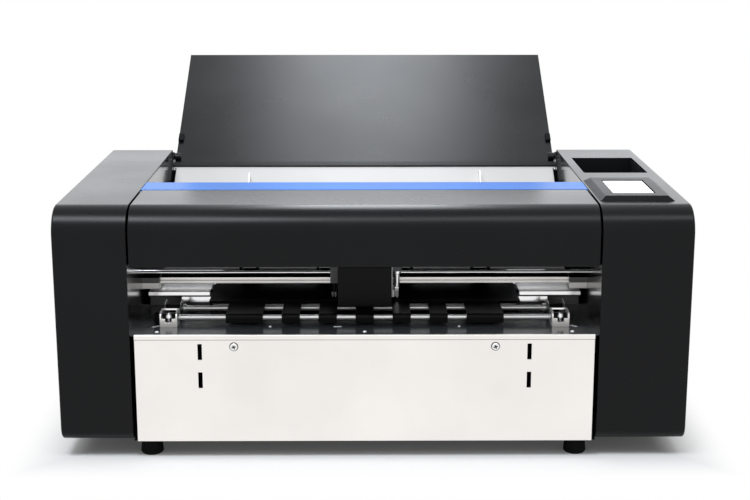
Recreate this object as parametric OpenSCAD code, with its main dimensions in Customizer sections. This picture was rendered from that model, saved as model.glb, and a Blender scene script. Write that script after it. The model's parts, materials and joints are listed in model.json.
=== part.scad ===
// Automatic sheet cutter: single sheets slide down from the open lid, pass a drive roller and a cutting
// carriage, and leave over the exit shaft at the front.
// X runs across the machine, Y from front to back, Z up from the table.

/* [Body] */
// Width over both side covers
overall_w = 684; // [664:1:724]
// Depth of the body from the front plate to the rear panel
body_d = 395; // [385:1:420]
// Height of the body above the table
body_h = 280; // [274:1:300]
// Width of the left side cover
left_cover_w = 79; // [72:1:86]
// Width of the right side cover
right_cover_w = 98; // [92:1:106]
// Sheet thickness of the covers and the hood
cover_t = 2; // [1.5:0.1:2.5]
// Radius along the front top edge of the body
top_r = 30; // [24:1:34]
// Radius along the front bottom edge of the covers
bottom_r = 16; // [12:1:20]
// Radius along the rear edges of the covers
rear_r = 5; // [3:0.5:8]
// Height of the rubber feet
foot_h = 20; // [16:1:24]
// Diameter of the rubber feet
foot_d = 25; // [20:1:28]

/* [Frame] */
// Thickness of the steel side plates
plate_t = 2; // [1.5:0.1:3]
// Thickness of the bent sheets of the base, deck and rear
sheet_t = 1.5; // [1.2:0.1:2]
// Height of the deck's top face
deck_z = 141; // [138:1:144]
// Depth of the deck from the front
deck_d = 128; // [122:1:132]
// Depth of the hood from the front to its free rear edge
hood_d = 108; // [102:1:109]
// Height of the hood's front apron
hood_drop = 63; // [56:1:68]
// Rear edge of the blue trim strip
trim_rear = 157.5; // [154:0.5:160]
// Height of the cross beam under the trim strip
beam_h = 32; // [26:1:36]

/* [Front plate] */
// Height of the folded lip at the top of the front plate
lip_h = 5.5; // [4:0.5:8]
// Width of a tray hook slot
slot_w = 4.7; // [4.4:0.1:6]
// Length of a tray hook slot
slot_l = 18; // [14:1:22]
// Distance between the left and right hook slots
slot_span = 357; // [334:1:374]
// Distance between the upper and lower hook slots
slot_rise = 32; // [28:1:38]
// Distance between the two front screws
front_screw_span = 283; // [250:1:300]
// Head diameter of the pan-head screws
screw_head_d = 8.4; // [7:0.2:9]
// Shank diameter of the pan-head screws
screw_d = 4; // [3:0.5:5]

/* [Exit] */
// Diameter of the exit shafts
exit_shaft_d = 6; // [5:0.5:8]
// Distance of the front exit shaft's axis from the front
exit_y = 46; // [44:0.5:50]
// Distance from each end of the exit shafts to the bay's edge
exit_shaft_in = 27.5; // [24:0.5:36]
// Distance between the two exit shafts
exit_pitch = 38; // [36:0.5:39]
// Number of narrow comb fingers
finger_count = 5; // [3:2:5]
// Width of a narrow comb finger
finger_w = 20; // [14:1:24]
// Width of the two outer comb fingers
outer_finger_w = 41; // [30:1:44]
// Distance from the platen's side edge to the middle of an outer comb finger
outer_finger_in = 44.5; // [38:0.5:46]

/* [Cutting] */
// Width of the steel shelf on each side of the platen
shelf_w = 70.6; // [64:0.2:78]
// Distance of the cutting line from the front
cut_y = 100; // [98:0.5:104]
// Width of the cutting strip
strip_w = 6; // [4:0.5:8]
// Height of the carriage rail
rail_h = 7; // [6:0.5:7.5]
// Depth of the carriage rail
rail_d = 24; // [20:1:26]
// Diameter of the guide rod
rod_d = 5; // [4:0.5:6]
// Width of the carriage's front cover
carriage_w = 60; // [54:1:64]
// Diameter of the blade holder
holder_d = 7; // [6:0.5:8]
// Travel of the tools down to the platen
tool_travel = 2.2; // [1:0.1:2.6]
// Pitch diameter of the carriage belt's pulleys
pulley_d = 16; // [14:0.5:18]

/* [Feed] */
// Diameter of the drive roller
drive_d = 20; // [16:1:22]
// Distance of the drive roller's axis from the front
drive_y = 195; // [193:0.5:198]
// Diameter of the pinch rollers
pinch_d = 14; // [12:0.5:16]
// Number of pinch arms
pinch_count = 4; // [2:1:5]
// Diameter of the pick rollers
pick_d = 30; // [26:1:32]
// Diameter of the roller shafts
shaft_d = 8; // [6:0.5:10]
// Distance between the side guides
guide_span = 297; // [200:1:300]
// Travel of each side guide towards the middle
guide_travel = 60; // [20:1:65]
// Tooth count of the guide pinion
pinion_teeth = 16; // [14:2:18]
// Tooth module of the guide pinion and racks
tooth_m = 2; // [1.5:0.1:2]

/* [Lid] */
// Thickness of the lid
lid_t = 2; // [1.5:0.1:3]
// Angle by which the lid is open
lid_open = 149; // [130:1:152]
// Gap between the lid and each side cover
lid_gap = 3.3; // [2.8:0.1:5]
// Diameter of the hinge pins
pin_d = 6; // [4:0.5:7]

/* [Controls] */
// Width of the control bezel
bezel_w = 82; // [76:1:86]
// Depth of the control bezel
bezel_l = 124; // [110:1:130]
// Height of the control bezel
bezel_h = 5; // [3:0.5:8]
// Width of the touch screen
screen_w = 46; // [40:1:52]
// Depth of the touch screen
screen_l = 78; // [70:1:84]
// Width of the tool pocket
pocket_w = 77; // [60:1:78]
// Length of the tool pocket
pocket_l = 108; // [90:1:112]
// Depth of the tool pocket
pocket_deep = 45; // [30:1:60]

/* [Fits] */
// Radial clearance of a shaft that turns or slides in a bore
run_fit = 0.05; // [0.02:0.01:0.1]
// Gap between pieces that pass each other
pass_gap = 0.3; // [0.2:0.05:0.6]
// Gap between sheets that are set side by side
seam_gap = 0.4; // [0.3:0.1:0.8]

/* [Hidden] */
$fn = 48;

// Finishes
black_coat = [0.12, 0.125, 0.13];
dark_plastic = [0.16, 0.165, 0.17];
blue_paint = [0.38, 0.52, 0.85];
steel = [0.72, 0.71, 0.69];
bright_steel = [0.86, 0.87, 0.88];
brass_tone = [0.78, 0.64, 0.35];
rubber_black = [0.07, 0.07, 0.075];
screen_white = [0.95, 0.96, 0.97];
board_green = [0.1, 0.35, 0.2];

// Small overlap that keeps a cut from ending flush with a face
cut = 1;

// Inner edges of the side covers, and the middle of the bay between them
bay_l = left_cover_w - overall_w / 2;
bay_r = overall_w / 2 - right_cover_w;
bay_x = (bay_l + bay_r) / 2;
// Inner faces of the side plates, set back a little behind the covers' edges
plate_inset = 1;
wall_l = bay_l - plate_inset;
wall_r = bay_r + plate_inset;
bay_half = (bay_r - bay_l) / 2;
wall_half = bay_half + plate_inset;
// Floor of the base pan and gap beside the front plate
floor_z = foot_h + sheet_t;
front_gap = 4.5;
// Front face of the front plate, behind its lip and its screw heads
front_y = 2.6;
lip_y = 1;
lip_r = 0.7;
lip_top = deck_z + 0.5;
screw_head_h = 2.4;
// Hole around a screw's shank
screw_hole_d = screw_d + 0.2;
front_screw_z = deck_z - 13;
upper_slot_z = deck_z - 19;
flange_l = 18;

// Exit shaft, comb and platen, one above the other
platen_t = 1.4;
shelf_in = 6;
platen_w = 2 * (wall_half - shelf_in - shelf_w - seam_gap);
exit_up = 7.8;
exit_z = deck_z + exit_up;
platen_z = exit_z + exit_shaft_d / 2 + pass_gap + platen_t;
platen_front_in = 5;
platen_front = cut_y - platen_front_in;
platen_rear_gap = 2;
platen_rear = drive_y - drive_d / 2 - platen_rear_gap;
finger_ahead = 2.5;
finger_nose = exit_y - exit_shaft_d / 2 - finger_ahead;
finger_bend_r = 4;
finger_tip_up = 2.5;
finger_tip_z = deck_z + finger_tip_up;
outer_finger_span = platen_w - 2 * outer_finger_in;
finger_gap = (outer_finger_span - outer_finger_w - finger_count * finger_w) / (finger_count + 1);
finger_pitch = finger_w + finger_gap;
strip_deep = 0.9;
leg_d = 18;
leg_rear_in = 4;
leg_y = [deck_d - leg_rear_in - leg_d, deck_d - leg_rear_in];
exit_shaft_l = 2 * (bay_half - exit_shaft_in);
exit_bracket_w = 19;
exit_shaft_end = 1;
exit_bracket_x = exit_shaft_l / 2 - exit_bracket_w / 2 - exit_shaft_end;
exit_sides = [bay_x - exit_bracket_x, bay_x + exit_bracket_x];
exit_bush_d = 10;
exit_ys = [exit_y, exit_y + exit_pitch];

// Rail, rod and carriage
rail_y = cut_y + 10;
rail_z = platen_z + 17.5;
rail_block_w = 20;
rod_at = [rail_y + rod_d / 2, rail_z + rail_h + rod_d / 2 + 3];
carriage_l = bay_x - carriage_w / 2;
carriage_r = bay_x + carriage_w / 2;
carriage_left_ear = 9;
ear_h = 26;
cover_ahead = 35;
carriage_front = cut_y - cover_ahead;
carriage_low = rail_z - 8;
carriage_up = 18.5;
carriage_top = rod_at[1] + carriage_up;
carriage_rear = rail_y + rail_d + 4;
block_front = cut_y - 10;
carriage_sheet = 1.2;
holder_x = carriage_r + holder_d / 2 + 3;
lug_d = holder_d + 5;
lug_h = 10;
lug_drop = 3;
lug_z = [carriage_top - lug_drop - lug_h, carriage_top - lug_drop];
crease_x = carriage_l - carriage_left_ear / 2;
crease_d = 5;
tip_z = platen_z + pass_gap + tool_travel;

// Carriage belt in a level loop behind the rail
belt_t = 1.4;
belt_w = 6;
pulley_flange = 1;
belt_z = rod_at[1] + rod_d / 2 + 4;
belt_y = carriage_rear + pulley_d / 2 + belt_t / 2 + 1.5;
idler_x = wall_l + rail_block_w / 2 + 1;
motor_w = 42;
belt_motor_x = wall_r - motor_w / 2 - 1;
belt_motor_z = carriage_top + 4;
motor_shaft_d = 5;
motor_bore_deep = 8;
motor_boss_h = 2;

// Small pulleys between the exit motor under the deck and the exit shaft
exit_pulley_gap = 1.5;
exit_pulley_w = 6;
exit_pulley_x = exit_sides[0] - exit_bracket_w / 2 - exit_pulley_gap - exit_pulley_w;
exit_pulley_r = 5;
exit_belt_r = exit_pulley_r + pass_gap;
exit_motor_drop = 44;
exit_motor_at = [exit_y, exit_z - exit_motor_drop];
exit_motor_d = 26;
exit_motor_l = 30;
exit_motor_shaft_d = 3;
exit_plate_gap = 2;
exit_plate_t = 2;
exit_plate_x = exit_pulley_x + exit_pulley_w + exit_plate_gap;
exit_plate_r = 16;

// Rollers
drive_at = [drive_y, platen_z - drive_d / 2];
pinch_at = [drive_y, platen_z + pass_gap + pinch_d / 2];
pinch_pivot_ahead = 25;
pinch_pivot_up = 31.5;
pinch_pivot = [drive_y - pinch_pivot_ahead, platen_z + pinch_pivot_up];
pinch_pivot_d = 6;
pinch_axle_d = 4;
pinch_w = 16;
pinch_arm_t = 3;
pinch_arm_w = 10;
pinch_in = 39.5;
pinch_span = platen_w - 2 * pinch_in;
bush_d = shaft_d + 6;
bush_flange_d = bush_d + 4;
bush_flange_t = 2;
feed_pulley_w = 8;
feed_pulley_x = wall_l - plate_t - 12;
feed_pulley_r = 9;
belt_inset = 1.5 * pulley_flange;
feed_post_l = 24;

lid_bracket_t = 2;

// Feed chute: a sloping plate from the lid's hinge down to the drive roller
chute_low = [drive_y + drive_d / 2 + 9, platen_z + 1.5];
chute_rear_in = 18.5;
chute_drop = 20.1;
chute_top = [body_d - chute_rear_in, body_h - chute_drop];
chute_deg = atan2(chute_top[1] - chute_low[1], chute_top[0] - chute_low[0]);
chute_l = norm(chute_top - chute_low);
chute_way = [cos(chute_deg), sin(chute_deg)];
chute_out = [-sin(chute_deg), cos(chute_deg)];
chute_side_gap = plate_inset + seam_gap + lid_bracket_t + seam_gap;
pick_s = 31;
pick_proud = 1;
pick_depth = pick_d / 2 - pick_proud;
pick_at = chute_low + pick_s * chute_way - pick_depth * chute_out;
pick_w = 30;
pick_span = 70;

// Side guides, racks and pinion under the chute
pinion_in = 71.4;
pinion_s = chute_l - pinion_in;
pitch_r = tooth_m * pinion_teeth / 2;
pressure_deg = 20;
tooth_out = 0.9 * tooth_m;
tooth_in = 1.2 * tooth_m;
base_r = pitch_r * cos(pressure_deg);
tip_r = pitch_r + tooth_out;
root_r = pitch_r - tooth_in;
tooth_play = 0.12;
rack_back = pitch_r + tooth_in + 7;
rack_stem = 6;
rack_deep = 6;
stem_s = rack_back - rack_stem / 2 - 0.5;
rack_n = -sheet_t - pass_gap;
rack_reach = 25;
stud_d = 6;
chute_tab_s = 65;
guide_t = 1.5;
guide_h = 13;
guide_slant = [12, 4];
guide_low = 62;
guide_top_in = 21.4;
guide_s = [pinion_s - guide_low, chute_l - guide_top_in];

// Lid and hood hinges
lid_axis = [body_d - 3.6, body_h - 9];
lid_top = body_h - 0.5;
lid_edge_r = 0.8;
lid_front = trim_rear + 0.9;
lid_l = lid_axis[0] - lid_front;
lid_knuckle_r = pin_d / 2 + 2;
lid_knuckle_w = 8;
lid_tail = 3;
hood_axis = [hood_d - 2, body_h - 6];
hood_pin_d = 3;
hood_gap = 2;
trim_front = hood_d + 3.5;
beam_z = body_h - cover_t - beam_h;

// Controls on the right cover
control_x = (bay_r + overall_w / 2) / 2;
bezel_x = bay_r + 2 + bezel_w / 2;
bezel_y = 41;
bezel_chamfer = 7;
screen_y = 64;
pocket_y = 217;
pocket_t = 2;
cable_hole = [16, 8, 3 * cover_t];

// The open lid reaches furthest back: the origin lies under the middle of the whole length
lid_far_y = lid_axis[0] - (lid_l - lid_edge_r) * cos(lid_open)
    + (lid_top - lid_edge_r - lid_axis[1]) * sin(lid_open) + lid_edge_r;
y_mid = lid_far_y / 2;

// Moves a piece from the front edge's frame to the part's own frame
module in_frame() translate([0, -y_mid, 0]) children();

// A block between two opposite corners
module block(lo, hi) translate(lo) cube(hi - lo);

// Extrudes an outline drawn in Y and Z along X
module along_x(x0, x1) translate([x0, 0, 0]) rotate([90, 0, 90]) linear_extrude(x1 - x0) children();

// Extrudes an outline drawn in X and Z along Y
module along_y(y0, y1) translate([0, y1, 0]) rotate([90, 0, 0]) linear_extrude(y1 - y0) children();

// A round bar along X, along Y or along Z
module bar_x(x0, x1, at, d) translate([x0, at[0], at[1]]) rotate([0, 90, 0]) cylinder(d = d, h = x1 - x0);
module bar_y(at, y0, y1, d) translate([at[0], y0, at[1]]) rotate([-90, 0, 0]) cylinder(d = d, h = y1 - y0);
module bar_z(at, z0, z1, d) translate([at[0], at[1], z0]) cylinder(d = d, h = z1 - z0);

// What is left outside a rounded corner of radius r
module corner_waste(at, turn, r) {
    translate(at) rotate(turn) difference() {
        translate([-cut, -cut]) square(r + cut);
        translate([r, r]) circle(r);
    }
}

// A rectangle with its own radius at each corner, in the order front low, rear low, rear top, front top
module rounded(lo, hi, radii) {
    corners = [lo, [hi[0], lo[1]], hi, [lo[0], hi[1]]];
    difference() {
        translate(lo) square(hi - lo);
        for (k = [0 : 3]) if (radii[k] > 0) corner_waste(corners[k], 90 * k, radii[k]);
    }
}

// Outline around two equal circles
module stadium(a, b, r) {
    run = b - a;
    translate(a) rotate(atan2(run[1], run[0])) {
        circle(r);
        translate([norm(run), 0]) circle(r);
        translate([0, -r]) square([norm(run), 2 * r]);
    }
}

// A belt round two equal pulleys of radius r at its inner face
module belt_outline(a, b, r) {
    difference() {
        stadium(a, b, r + belt_t);
        stadium(a, b, r);
    }
}

// Side outline of the body, drawn inset
module body_outline(inset) {
    rounded([inset, foot_h + inset], [body_d - inset, body_h - inset],
        [bottom_r - inset, rear_r - inset, rear_r - inset, top_r - inset]);
}

// Places what lies on the feed chute: X across, Y up the slope, Z out of the chute's face
module on_chute() translate([0, chute_low[0], chute_low[1]]) rotate([chute_deg, 0, 0]) children();

// Turns what is drawn with the lid closed into the lid's open place
module lid_opened() {
    translate([0, lid_axis[0], lid_axis[1]]) rotate([-lid_open, 0, 0])
        translate([0, -lid_axis[0], -lid_axis[1]]) children();
}

// Places of the feet
foot_places = [for (x = [wall_l + 18, wall_r - 21]) for (y = [23, body_d - 30]) [x, y]];

// Floor of the frame, with turned-up edges
pan_flange = 18;
pan_l = bay_l + seam_gap;
pan_r = bay_r - seam_gap;
module base_pan() in_frame() color(black_coat) difference() {
    union() {
        block([pan_l, front_y + sheet_t, foot_h], [pan_r, body_d - sheet_t, floor_z]);
        for (x = [pan_l, pan_r - sheet_t])
            block([x, front_y + flange_l, floor_z], [x + sheet_t, body_d - flange_l, floor_z + pan_flange]);
        block([bay_l + front_gap, front_y + sheet_t, floor_z],
            [bay_r - front_gap, front_y + 2 * sheet_t, floor_z + pan_flange]);
    }
    for (p = foot_places) bar_z(p, foot_h - cut, floor_z + cut, screw_hole_d);
}

// Four turned rubber feet with a recess for the screw head
foot_taper = 1.5;
foot_chamfer = 2;
module feet() in_frame() color(rubber_black) for (p = foot_places) translate([p[0], p[1], 0]) difference() {
    rotate_extrude() polygon([
        [0, 0], [foot_d / 2 - foot_chamfer, 0], [foot_d / 2, foot_chamfer],
        [foot_d / 2 - foot_taper, foot_h], [0, foot_h]
    ]);
    translate([0, 0, -cut]) cylinder(d = screw_head_d + 2, h = foot_h / 2 + cut);
    cylinder(d = screw_hole_d, h = foot_h + cut);
}

// Pan-head screw along Z, its head below and its shank upward
module pan_screw(shank) {
    translate([0, 0, -screw_head_h]) cylinder(d = screw_head_d, h = screw_head_h);
    cylinder(d = screw_d, h = shank);
}

// Screws of the feet and of the front plate, and how far they reach past the sheets
screw_end = 4;
module screws() in_frame() color(bright_steel) {
    for (p = foot_places) translate([p[0], p[1], foot_h / 2]) pan_screw(foot_h / 2 + sheet_t + screw_end);
    for (s = [-1, 1]) translate([bay_x + s * front_screw_span / 2, front_y, front_screw_z])
        rotate([-90, 0, 0]) pan_screw(2 * sheet_t + screw_end);
}

// Steel plate that closes a side cover and carries the shafts
module side_plate(x0) in_frame() color(steel) difference() {
    along_x(x0, x0 + plate_t) body_outline(cover_t + seam_gap);
    for (a = [drive_at, pick_at]) bar_x(x0 - cut, x0 + plate_t + cut, a, bush_d + 2 * run_fit);
    bar_x(x0 - cut, x0 + plate_t + cut, hood_axis, hood_pin_d + 2 * run_fit);
}
module left_side_plate() side_plate(wall_l - plate_t);
module right_side_plate() side_plate(wall_r);

// Black shell over the left end
module left_cover() in_frame() color(black_coat) difference() {
    along_x(-overall_w / 2, bay_l) body_outline(0);
    along_x(cover_t - overall_w / 2, bay_l + cut) body_outline(cover_t);
}

// Black shell over the right end, open above for the tool pocket and the screen's cable
module right_cover() in_frame() color(black_coat) difference() {
    along_x(bay_r, overall_w / 2) body_outline(0);
    along_x(bay_r - cut, overall_w / 2 - cover_t) body_outline(cover_t);
    pocket_space(0, body_h - cover_t - cut, body_h + cut);
    translate([bezel_x, screen_y + screen_l / 2, body_h]) cube(cable_hole, center = true);
}

// Stainless plate under the mouth, with a folded lip and four hook slots for a tray
module front_plate() in_frame() color(steel) difference() {
    union() {
        block([bay_l + front_gap, front_y, foot_h], [bay_r - front_gap, front_y + sheet_t, deck_z]);
        along_x(bay_l + front_gap, bay_r - front_gap)
            rounded([lip_y, lip_top - lip_h], [front_y + sheet_t, lip_top], [lip_r, 0, 0, lip_r]);
    }
    for (s = [-1, 1]) {
        for (z = [upper_slot_z, upper_slot_z - slot_rise])
            translate([bay_x + s * slot_span / 2, front_y, z])
                cube([slot_w, 4 * sheet_t, slot_l], center = true);
        bar_y([bay_x + s * front_screw_span / 2, front_screw_z], 0, front_y + sheet_t + cut, screw_hole_d);
    }
}

// Black plate that the sheets slide out over, with its screw holes, two peg holes, three short slots
// (each with its place from the middle and its turn) and an opening for the exit belt
deck_screw_in = 29.5;
deck_screw_span = wall_half - deck_screw_in;
deck_screw_y = 15;
deck_peg_span = 104;
deck_peg_y = 35;
deck_peg_d = 3.2;
deck_slot = [9, 3, 3 * sheet_t];
deck_slot_in = 16.5;
deck_slot_places = [
    [-30, 34.5, 0], [deck_slot_in - wall_half, 37.5, 40], [wall_half - deck_slot_in, 37.5, -40]
];
deck_under = deck_z - 3 * sheet_t;
belt_room = 1;
module deck_plate() in_frame() color(black_coat) difference() {
    union() {
        block([wall_l, front_y + sheet_t, deck_z - sheet_t], [wall_r, deck_d, deck_z]);
        block([bay_x - slot_span / 2 + slot_w + 2, front_y + sheet_t, deck_z - sheet_t - flange_l],
            [bay_x + slot_span / 2 - slot_w - 2, front_y + 2 * sheet_t, deck_z - sheet_t]);
    }
    for (s = [-1, 1])
        bar_y([bay_x + s * front_screw_span / 2, front_screw_z], 0, front_y + 3 * sheet_t, screw_hole_d);
    for (s = [-1, 0, 1])
        bar_z([bay_x + s * deck_screw_span, deck_screw_y], deck_under, deck_z + cut, screw_hole_d);
    for (s = [-1, 1])
        bar_z([bay_x + s * deck_peg_span, deck_peg_y], deck_under, deck_z + cut, deck_peg_d);
    for (p = deck_slot_places)
        translate([bay_x + p[0], p[1], deck_z]) rotate(p[2]) cube(deck_slot, center = true);
    block([exit_pulley_x + belt_inset - belt_room, exit_y - exit_belt_r - belt_t - belt_room, deck_under],
        [exit_pulley_x + exit_pulley_w - belt_inset + belt_room, exit_y + exit_belt_r + belt_t + belt_room,
            deck_z + cut]);
}

// Rear sheet with a folded top edge and an opening for the power inlet
rear_top = body_h - 30;
inlet_at = [bay_r - 48, 86];
inlet_w = 44;
inlet_h = 52;
inlet_deep = 28;
rear_fold = 9;
module rear_panel() in_frame() color(black_coat) difference() {
    union() {
        block([bay_l + seam_gap, body_d - sheet_t, foot_h], [bay_r - seam_gap, body_d, rear_top]);
        block([bay_l + seam_gap, lid_axis[0] - rear_fold, rear_top - sheet_t],
            [bay_r - seam_gap, body_d, rear_top]);
    }
    translate([inlet_at[0], body_d, inlet_at[1]])
        cube([inlet_w + 2 * pass_gap, 4 * sheet_t, inlet_h + 2 * pass_gap], center = true);
}

// Steel channel across the frame, under the trim
beam_y = [trim_front + 2, trim_rear - 2];
module cross_beam() in_frame() color(steel) along_x(wall_l, wall_r) difference() {
    rounded([beam_y[0], beam_z], [beam_y[1], body_h - cover_t], [0, 0, 2, 2]);
    translate([beam_y[0] + plate_t, beam_z - cut])
        square([beam_y[1] - beam_y[0] - 2 * plate_t, beam_h - plate_t + cut]);
}

// Blue strip between the hood and the feed opening, folded down behind
trim_skirt = 12;
trim_r = 1.5;
module trim_strip() in_frame() color(blue_paint) along_x(bay_l + seam_gap, bay_r - seam_gap) difference() {
    rounded([trim_front, body_h - trim_skirt], [trim_rear, body_h], [0, 0, trim_r, 0]);
    translate([trim_front - cut, body_h - trim_skirt - cut])
        square([trim_rear - trim_front - sheet_t + cut, trim_skirt - cover_t + cut]);
}

// Black platen whose comb fingers bend down in front of the exit shaft
module finger(x, w) along_x(x - w / 2, x + w / 2) difference() {
    rounded([finger_nose, finger_tip_z], [platen_front + cut, platen_z], [0, 0, 0, finger_bend_r]);
    rounded([finger_nose + platen_t, finger_tip_z - cut], [platen_front + 2 * cut, platen_z - platen_t],
        [0, 0, 0, finger_bend_r - platen_t]);
}
module platen() in_frame() color(black_coat) difference() {
    union() {
        block([bay_x - platen_w / 2, platen_front, platen_z - platen_t],
            [bay_x + platen_w / 2, platen_rear, platen_z]);
        for (k = [0 : finger_count - 1])
            finger(bay_x + (k - (finger_count - 1) / 2) * finger_pitch, finger_w);
        for (s = [-1, 1]) {
            finger(bay_x + s * outer_finger_span / 2, outer_finger_w);
            block([bay_x + s * (platen_w - platen_t) / 2 - platen_t / 2, leg_y[0], deck_z],
                [bay_x + s * (platen_w - platen_t) / 2 + platen_t / 2, leg_y[1], platen_z]);
        }
    }
    block([bay_x - platen_w / 2 - cut, cut_y - strip_w / 2, platen_z - strip_deep],
        [bay_x + platen_w / 2 + cut, cut_y + strip_w / 2, platen_z + cut]);
}

// Hard strip under the blade, laid in the platen's groove
module cutting_strip() in_frame() color(screen_white)
    block([bay_x - platen_w / 2, cut_y - strip_w / 2, platen_z - strip_deep],
        [bay_x + platen_w / 2, cut_y + strip_w / 2, platen_z]);

// Stainless shelves beside the platen, with a rolled front lip and a leg on the deck
shelf_up = 6.5;
shelf_z = platen_z + shelf_up;
shelf_d = 61;
shelf_ahead = 17;
shelf_front = deck_d - shelf_ahead;
shelf_y = [shelf_front, shelf_front + shelf_d];
shelf_lip = 5;
shelf_lip_r = 2.4;
shelf_leg_in = 3;
shelf_leg_y = deck_d - shelf_leg_in;
shelf_ends = [
    [wall_l + shelf_in, wall_l + shelf_in + shelf_w],
    [wall_r - shelf_in - shelf_w, wall_r - shelf_in]
];
module side_shelves() in_frame() color(steel) for (ends = shelf_ends) {
    along_x(ends[0], ends[1]) difference() {
        rounded([shelf_y[0], shelf_z - shelf_lip], [shelf_y[1], shelf_z], [shelf_lip_r, 0, 0, shelf_lip_r]);
        translate([shelf_y[0] + shelf_lip, shelf_z - shelf_lip - cut])
            square([shelf_y[1], shelf_lip - sheet_t + cut]);
    }
    block([ends[0], shelf_leg_y, deck_z], [ends[1], shelf_leg_y + sheet_t, shelf_z - sheet_t / 2]);
}

// Stainless feed chute with windows for the pick rollers, slots for the guides and the pinion's stud
function guide_x(side) = bay_x + side * guide_span / 2;
function rack_s(side) = pinion_s - side * stem_s;
slot_play = 0.5;
module guide_slot(side) {
    near = guide_x(side) - side * (guide_travel + rack_stem - guide_t + slot_play);
    far = guide_x(side) + side * (guide_t + slot_play);
    block([min(near, far), rack_s(side) - rack_stem / 2 - slot_play, -sheet_t - cut],
        [max(near, far), rack_s(side) + rack_stem / 2 + slot_play, cut]);
}
pick_window = [pick_w + 4, 26, 4 * sheet_t];
stud_low = rack_n - rack_deep - pass_gap;
stud_head_t = 2;
chute_tab = [chute_side_gap + cut, 30, 12];
module feed_chute() in_frame() on_chute() color(steel) {
    difference() {
        block([wall_l + chute_side_gap, 0, -sheet_t], [wall_r - chute_side_gap, chute_l, 0]);
        for (s = [-1, 1]) {
            translate([bay_x + s * pick_span / 2, pick_s, 0]) cube(pick_window, center = true);
            guide_slot(s);
        }
    }
    for (x = [wall_l, wall_r - chute_tab[0]]) translate([x, chute_tab_s, -chute_tab[2]]) cube(chute_tab);
    translate([bay_x, pinion_s, stud_low]) cylinder(d = stud_d, h = -sheet_t / 2 - stud_low);
    translate([bay_x, pinion_s, stud_low - stud_head_t]) cylinder(d = 2 * stud_d, h = stud_head_t);
}

// Gate that keeps all but the lowest sheet back, hung from the cross beam, with a wider apron below
gate_s = 12;
gate_lift = 1.5;
gate_in = 7.5;
gate_w = platen_w - 2 * gate_in;
gate_tip = chute_low + gate_s * chute_way + gate_lift * chute_out;
gate_root = [beam_y[1], beam_z + sheet_t];
apron_gap = 2.5;
apron_top = belt_motor_z - motor_boss_h - 2 * apron_gap;
apron_share = (gate_root[1] - apron_top) / (gate_root[1] - gate_tip[1]);
module gate_sheet(start) polygon([start, start + [sheet_t, 0], gate_tip + [sheet_t, 0], gate_tip]);
module feed_gate() in_frame() color(dark_plastic) {
    along_x(bay_x - gate_w / 2, bay_x + gate_w / 2) {
        translate([beam_y[1], beam_z]) square([sheet_t, beam_h - trim_skirt]);
        gate_sheet(gate_root);
    }
    along_x(wall_l + apron_gap, wall_r - apron_gap)
        gate_sheet(gate_root + apron_share * (gate_tip - gate_root));
}

// Black folded strip that carries the chute's face on up to the lid and stands on the rear panel
strip_up = 10.6;
module hinge_strip() in_frame() color(black_coat) {
    start = chute_top + pass_gap * chute_way;
    fold = chute_top + strip_up * chute_way;
    bend = fold - sheet_t * [1, chute_out[1] + (1 - chute_out[0]) * chute_way[1] / chute_way[0]];
    along_x(wall_l + chute_side_gap, wall_r - chute_side_gap) polygon([
        start, fold, [fold[0], rear_top], [fold[0] - sheet_t, rear_top], bend, start - sheet_t * chute_out
    ]);
}

// Black plates on the side plates that carry the lid
bracket_root_l = 14;
bracket_l = 52;
bracket_slot = [0.45, 0.8];
bracket_root = -bracket_root_l * chute_way;
bracket_tail = -bracket_l * chute_way;
bracket_slot_r = 2;
bracket_r = pin_d / 2 + 3;
lid_bracket_x = plate_inset + seam_gap;
module lid_bracket() {
    along_x(0, lid_bracket_x + lid_bracket_t) difference() {
        translate(lid_axis) stadium(bracket_root, bracket_tail, bracket_r);
        translate(lid_axis)
            stadium(bracket_slot[0] * bracket_tail, bracket_slot[1] * bracket_tail, bracket_slot_r);
    }
    along_x(lid_bracket_x, lid_bracket_x + lid_bracket_t) translate(lid_axis) difference() {
        stadium([0, 0], bracket_root, bracket_r);
        circle(d = pin_d + 2 * run_fit);
    }
}
module lid_brackets() in_frame() color(black_coat) {
    translate([wall_l, 0, 0]) lid_bracket();
    translate([wall_r, 0, 0]) mirror([1, 0, 0]) lid_bracket();
}

// Steel pins of the lid and of the hood
lid_pin_l = lid_gap - seam_gap + lid_knuckle_w;
hood_pin_end = 4;
hood_pin_l = plate_t + plate_inset + hood_gap + cover_t + hood_pin_end;
module hinge_pins() in_frame() color(bright_steel) {
    bar_x(wall_l + lid_bracket_x, wall_l + lid_bracket_x + lid_pin_l, lid_axis, pin_d);
    bar_x(wall_r - lid_bracket_x - lid_pin_l, wall_r - lid_bracket_x, lid_axis, pin_d);
    bar_x(wall_l - plate_t, wall_l - plate_t + hood_pin_l, hood_axis, hood_pin_d);
    bar_x(wall_r + plate_t - hood_pin_l, wall_r + plate_t, hood_axis, hood_pin_d);
}

// Aluminium rail with a groove along its front face
groove_w = 1;
groove_deep = 1.2;
module carriage_rail() in_frame() color(bright_steel)
    along_x(wall_l + rail_block_w, wall_r - rail_block_w) difference() {
        translate([rail_y, rail_z]) square([rail_d, rail_h]);
        translate([rail_y - cut, rail_z + (rail_h - groove_w) / 2]) square([cut + groove_deep, groove_w]);
    }

// Chrome rod that the carriage hangs on
module guide_rod() in_frame() color(bright_steel) bar_x(wall_l, wall_r, rod_at, rod_d);

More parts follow.
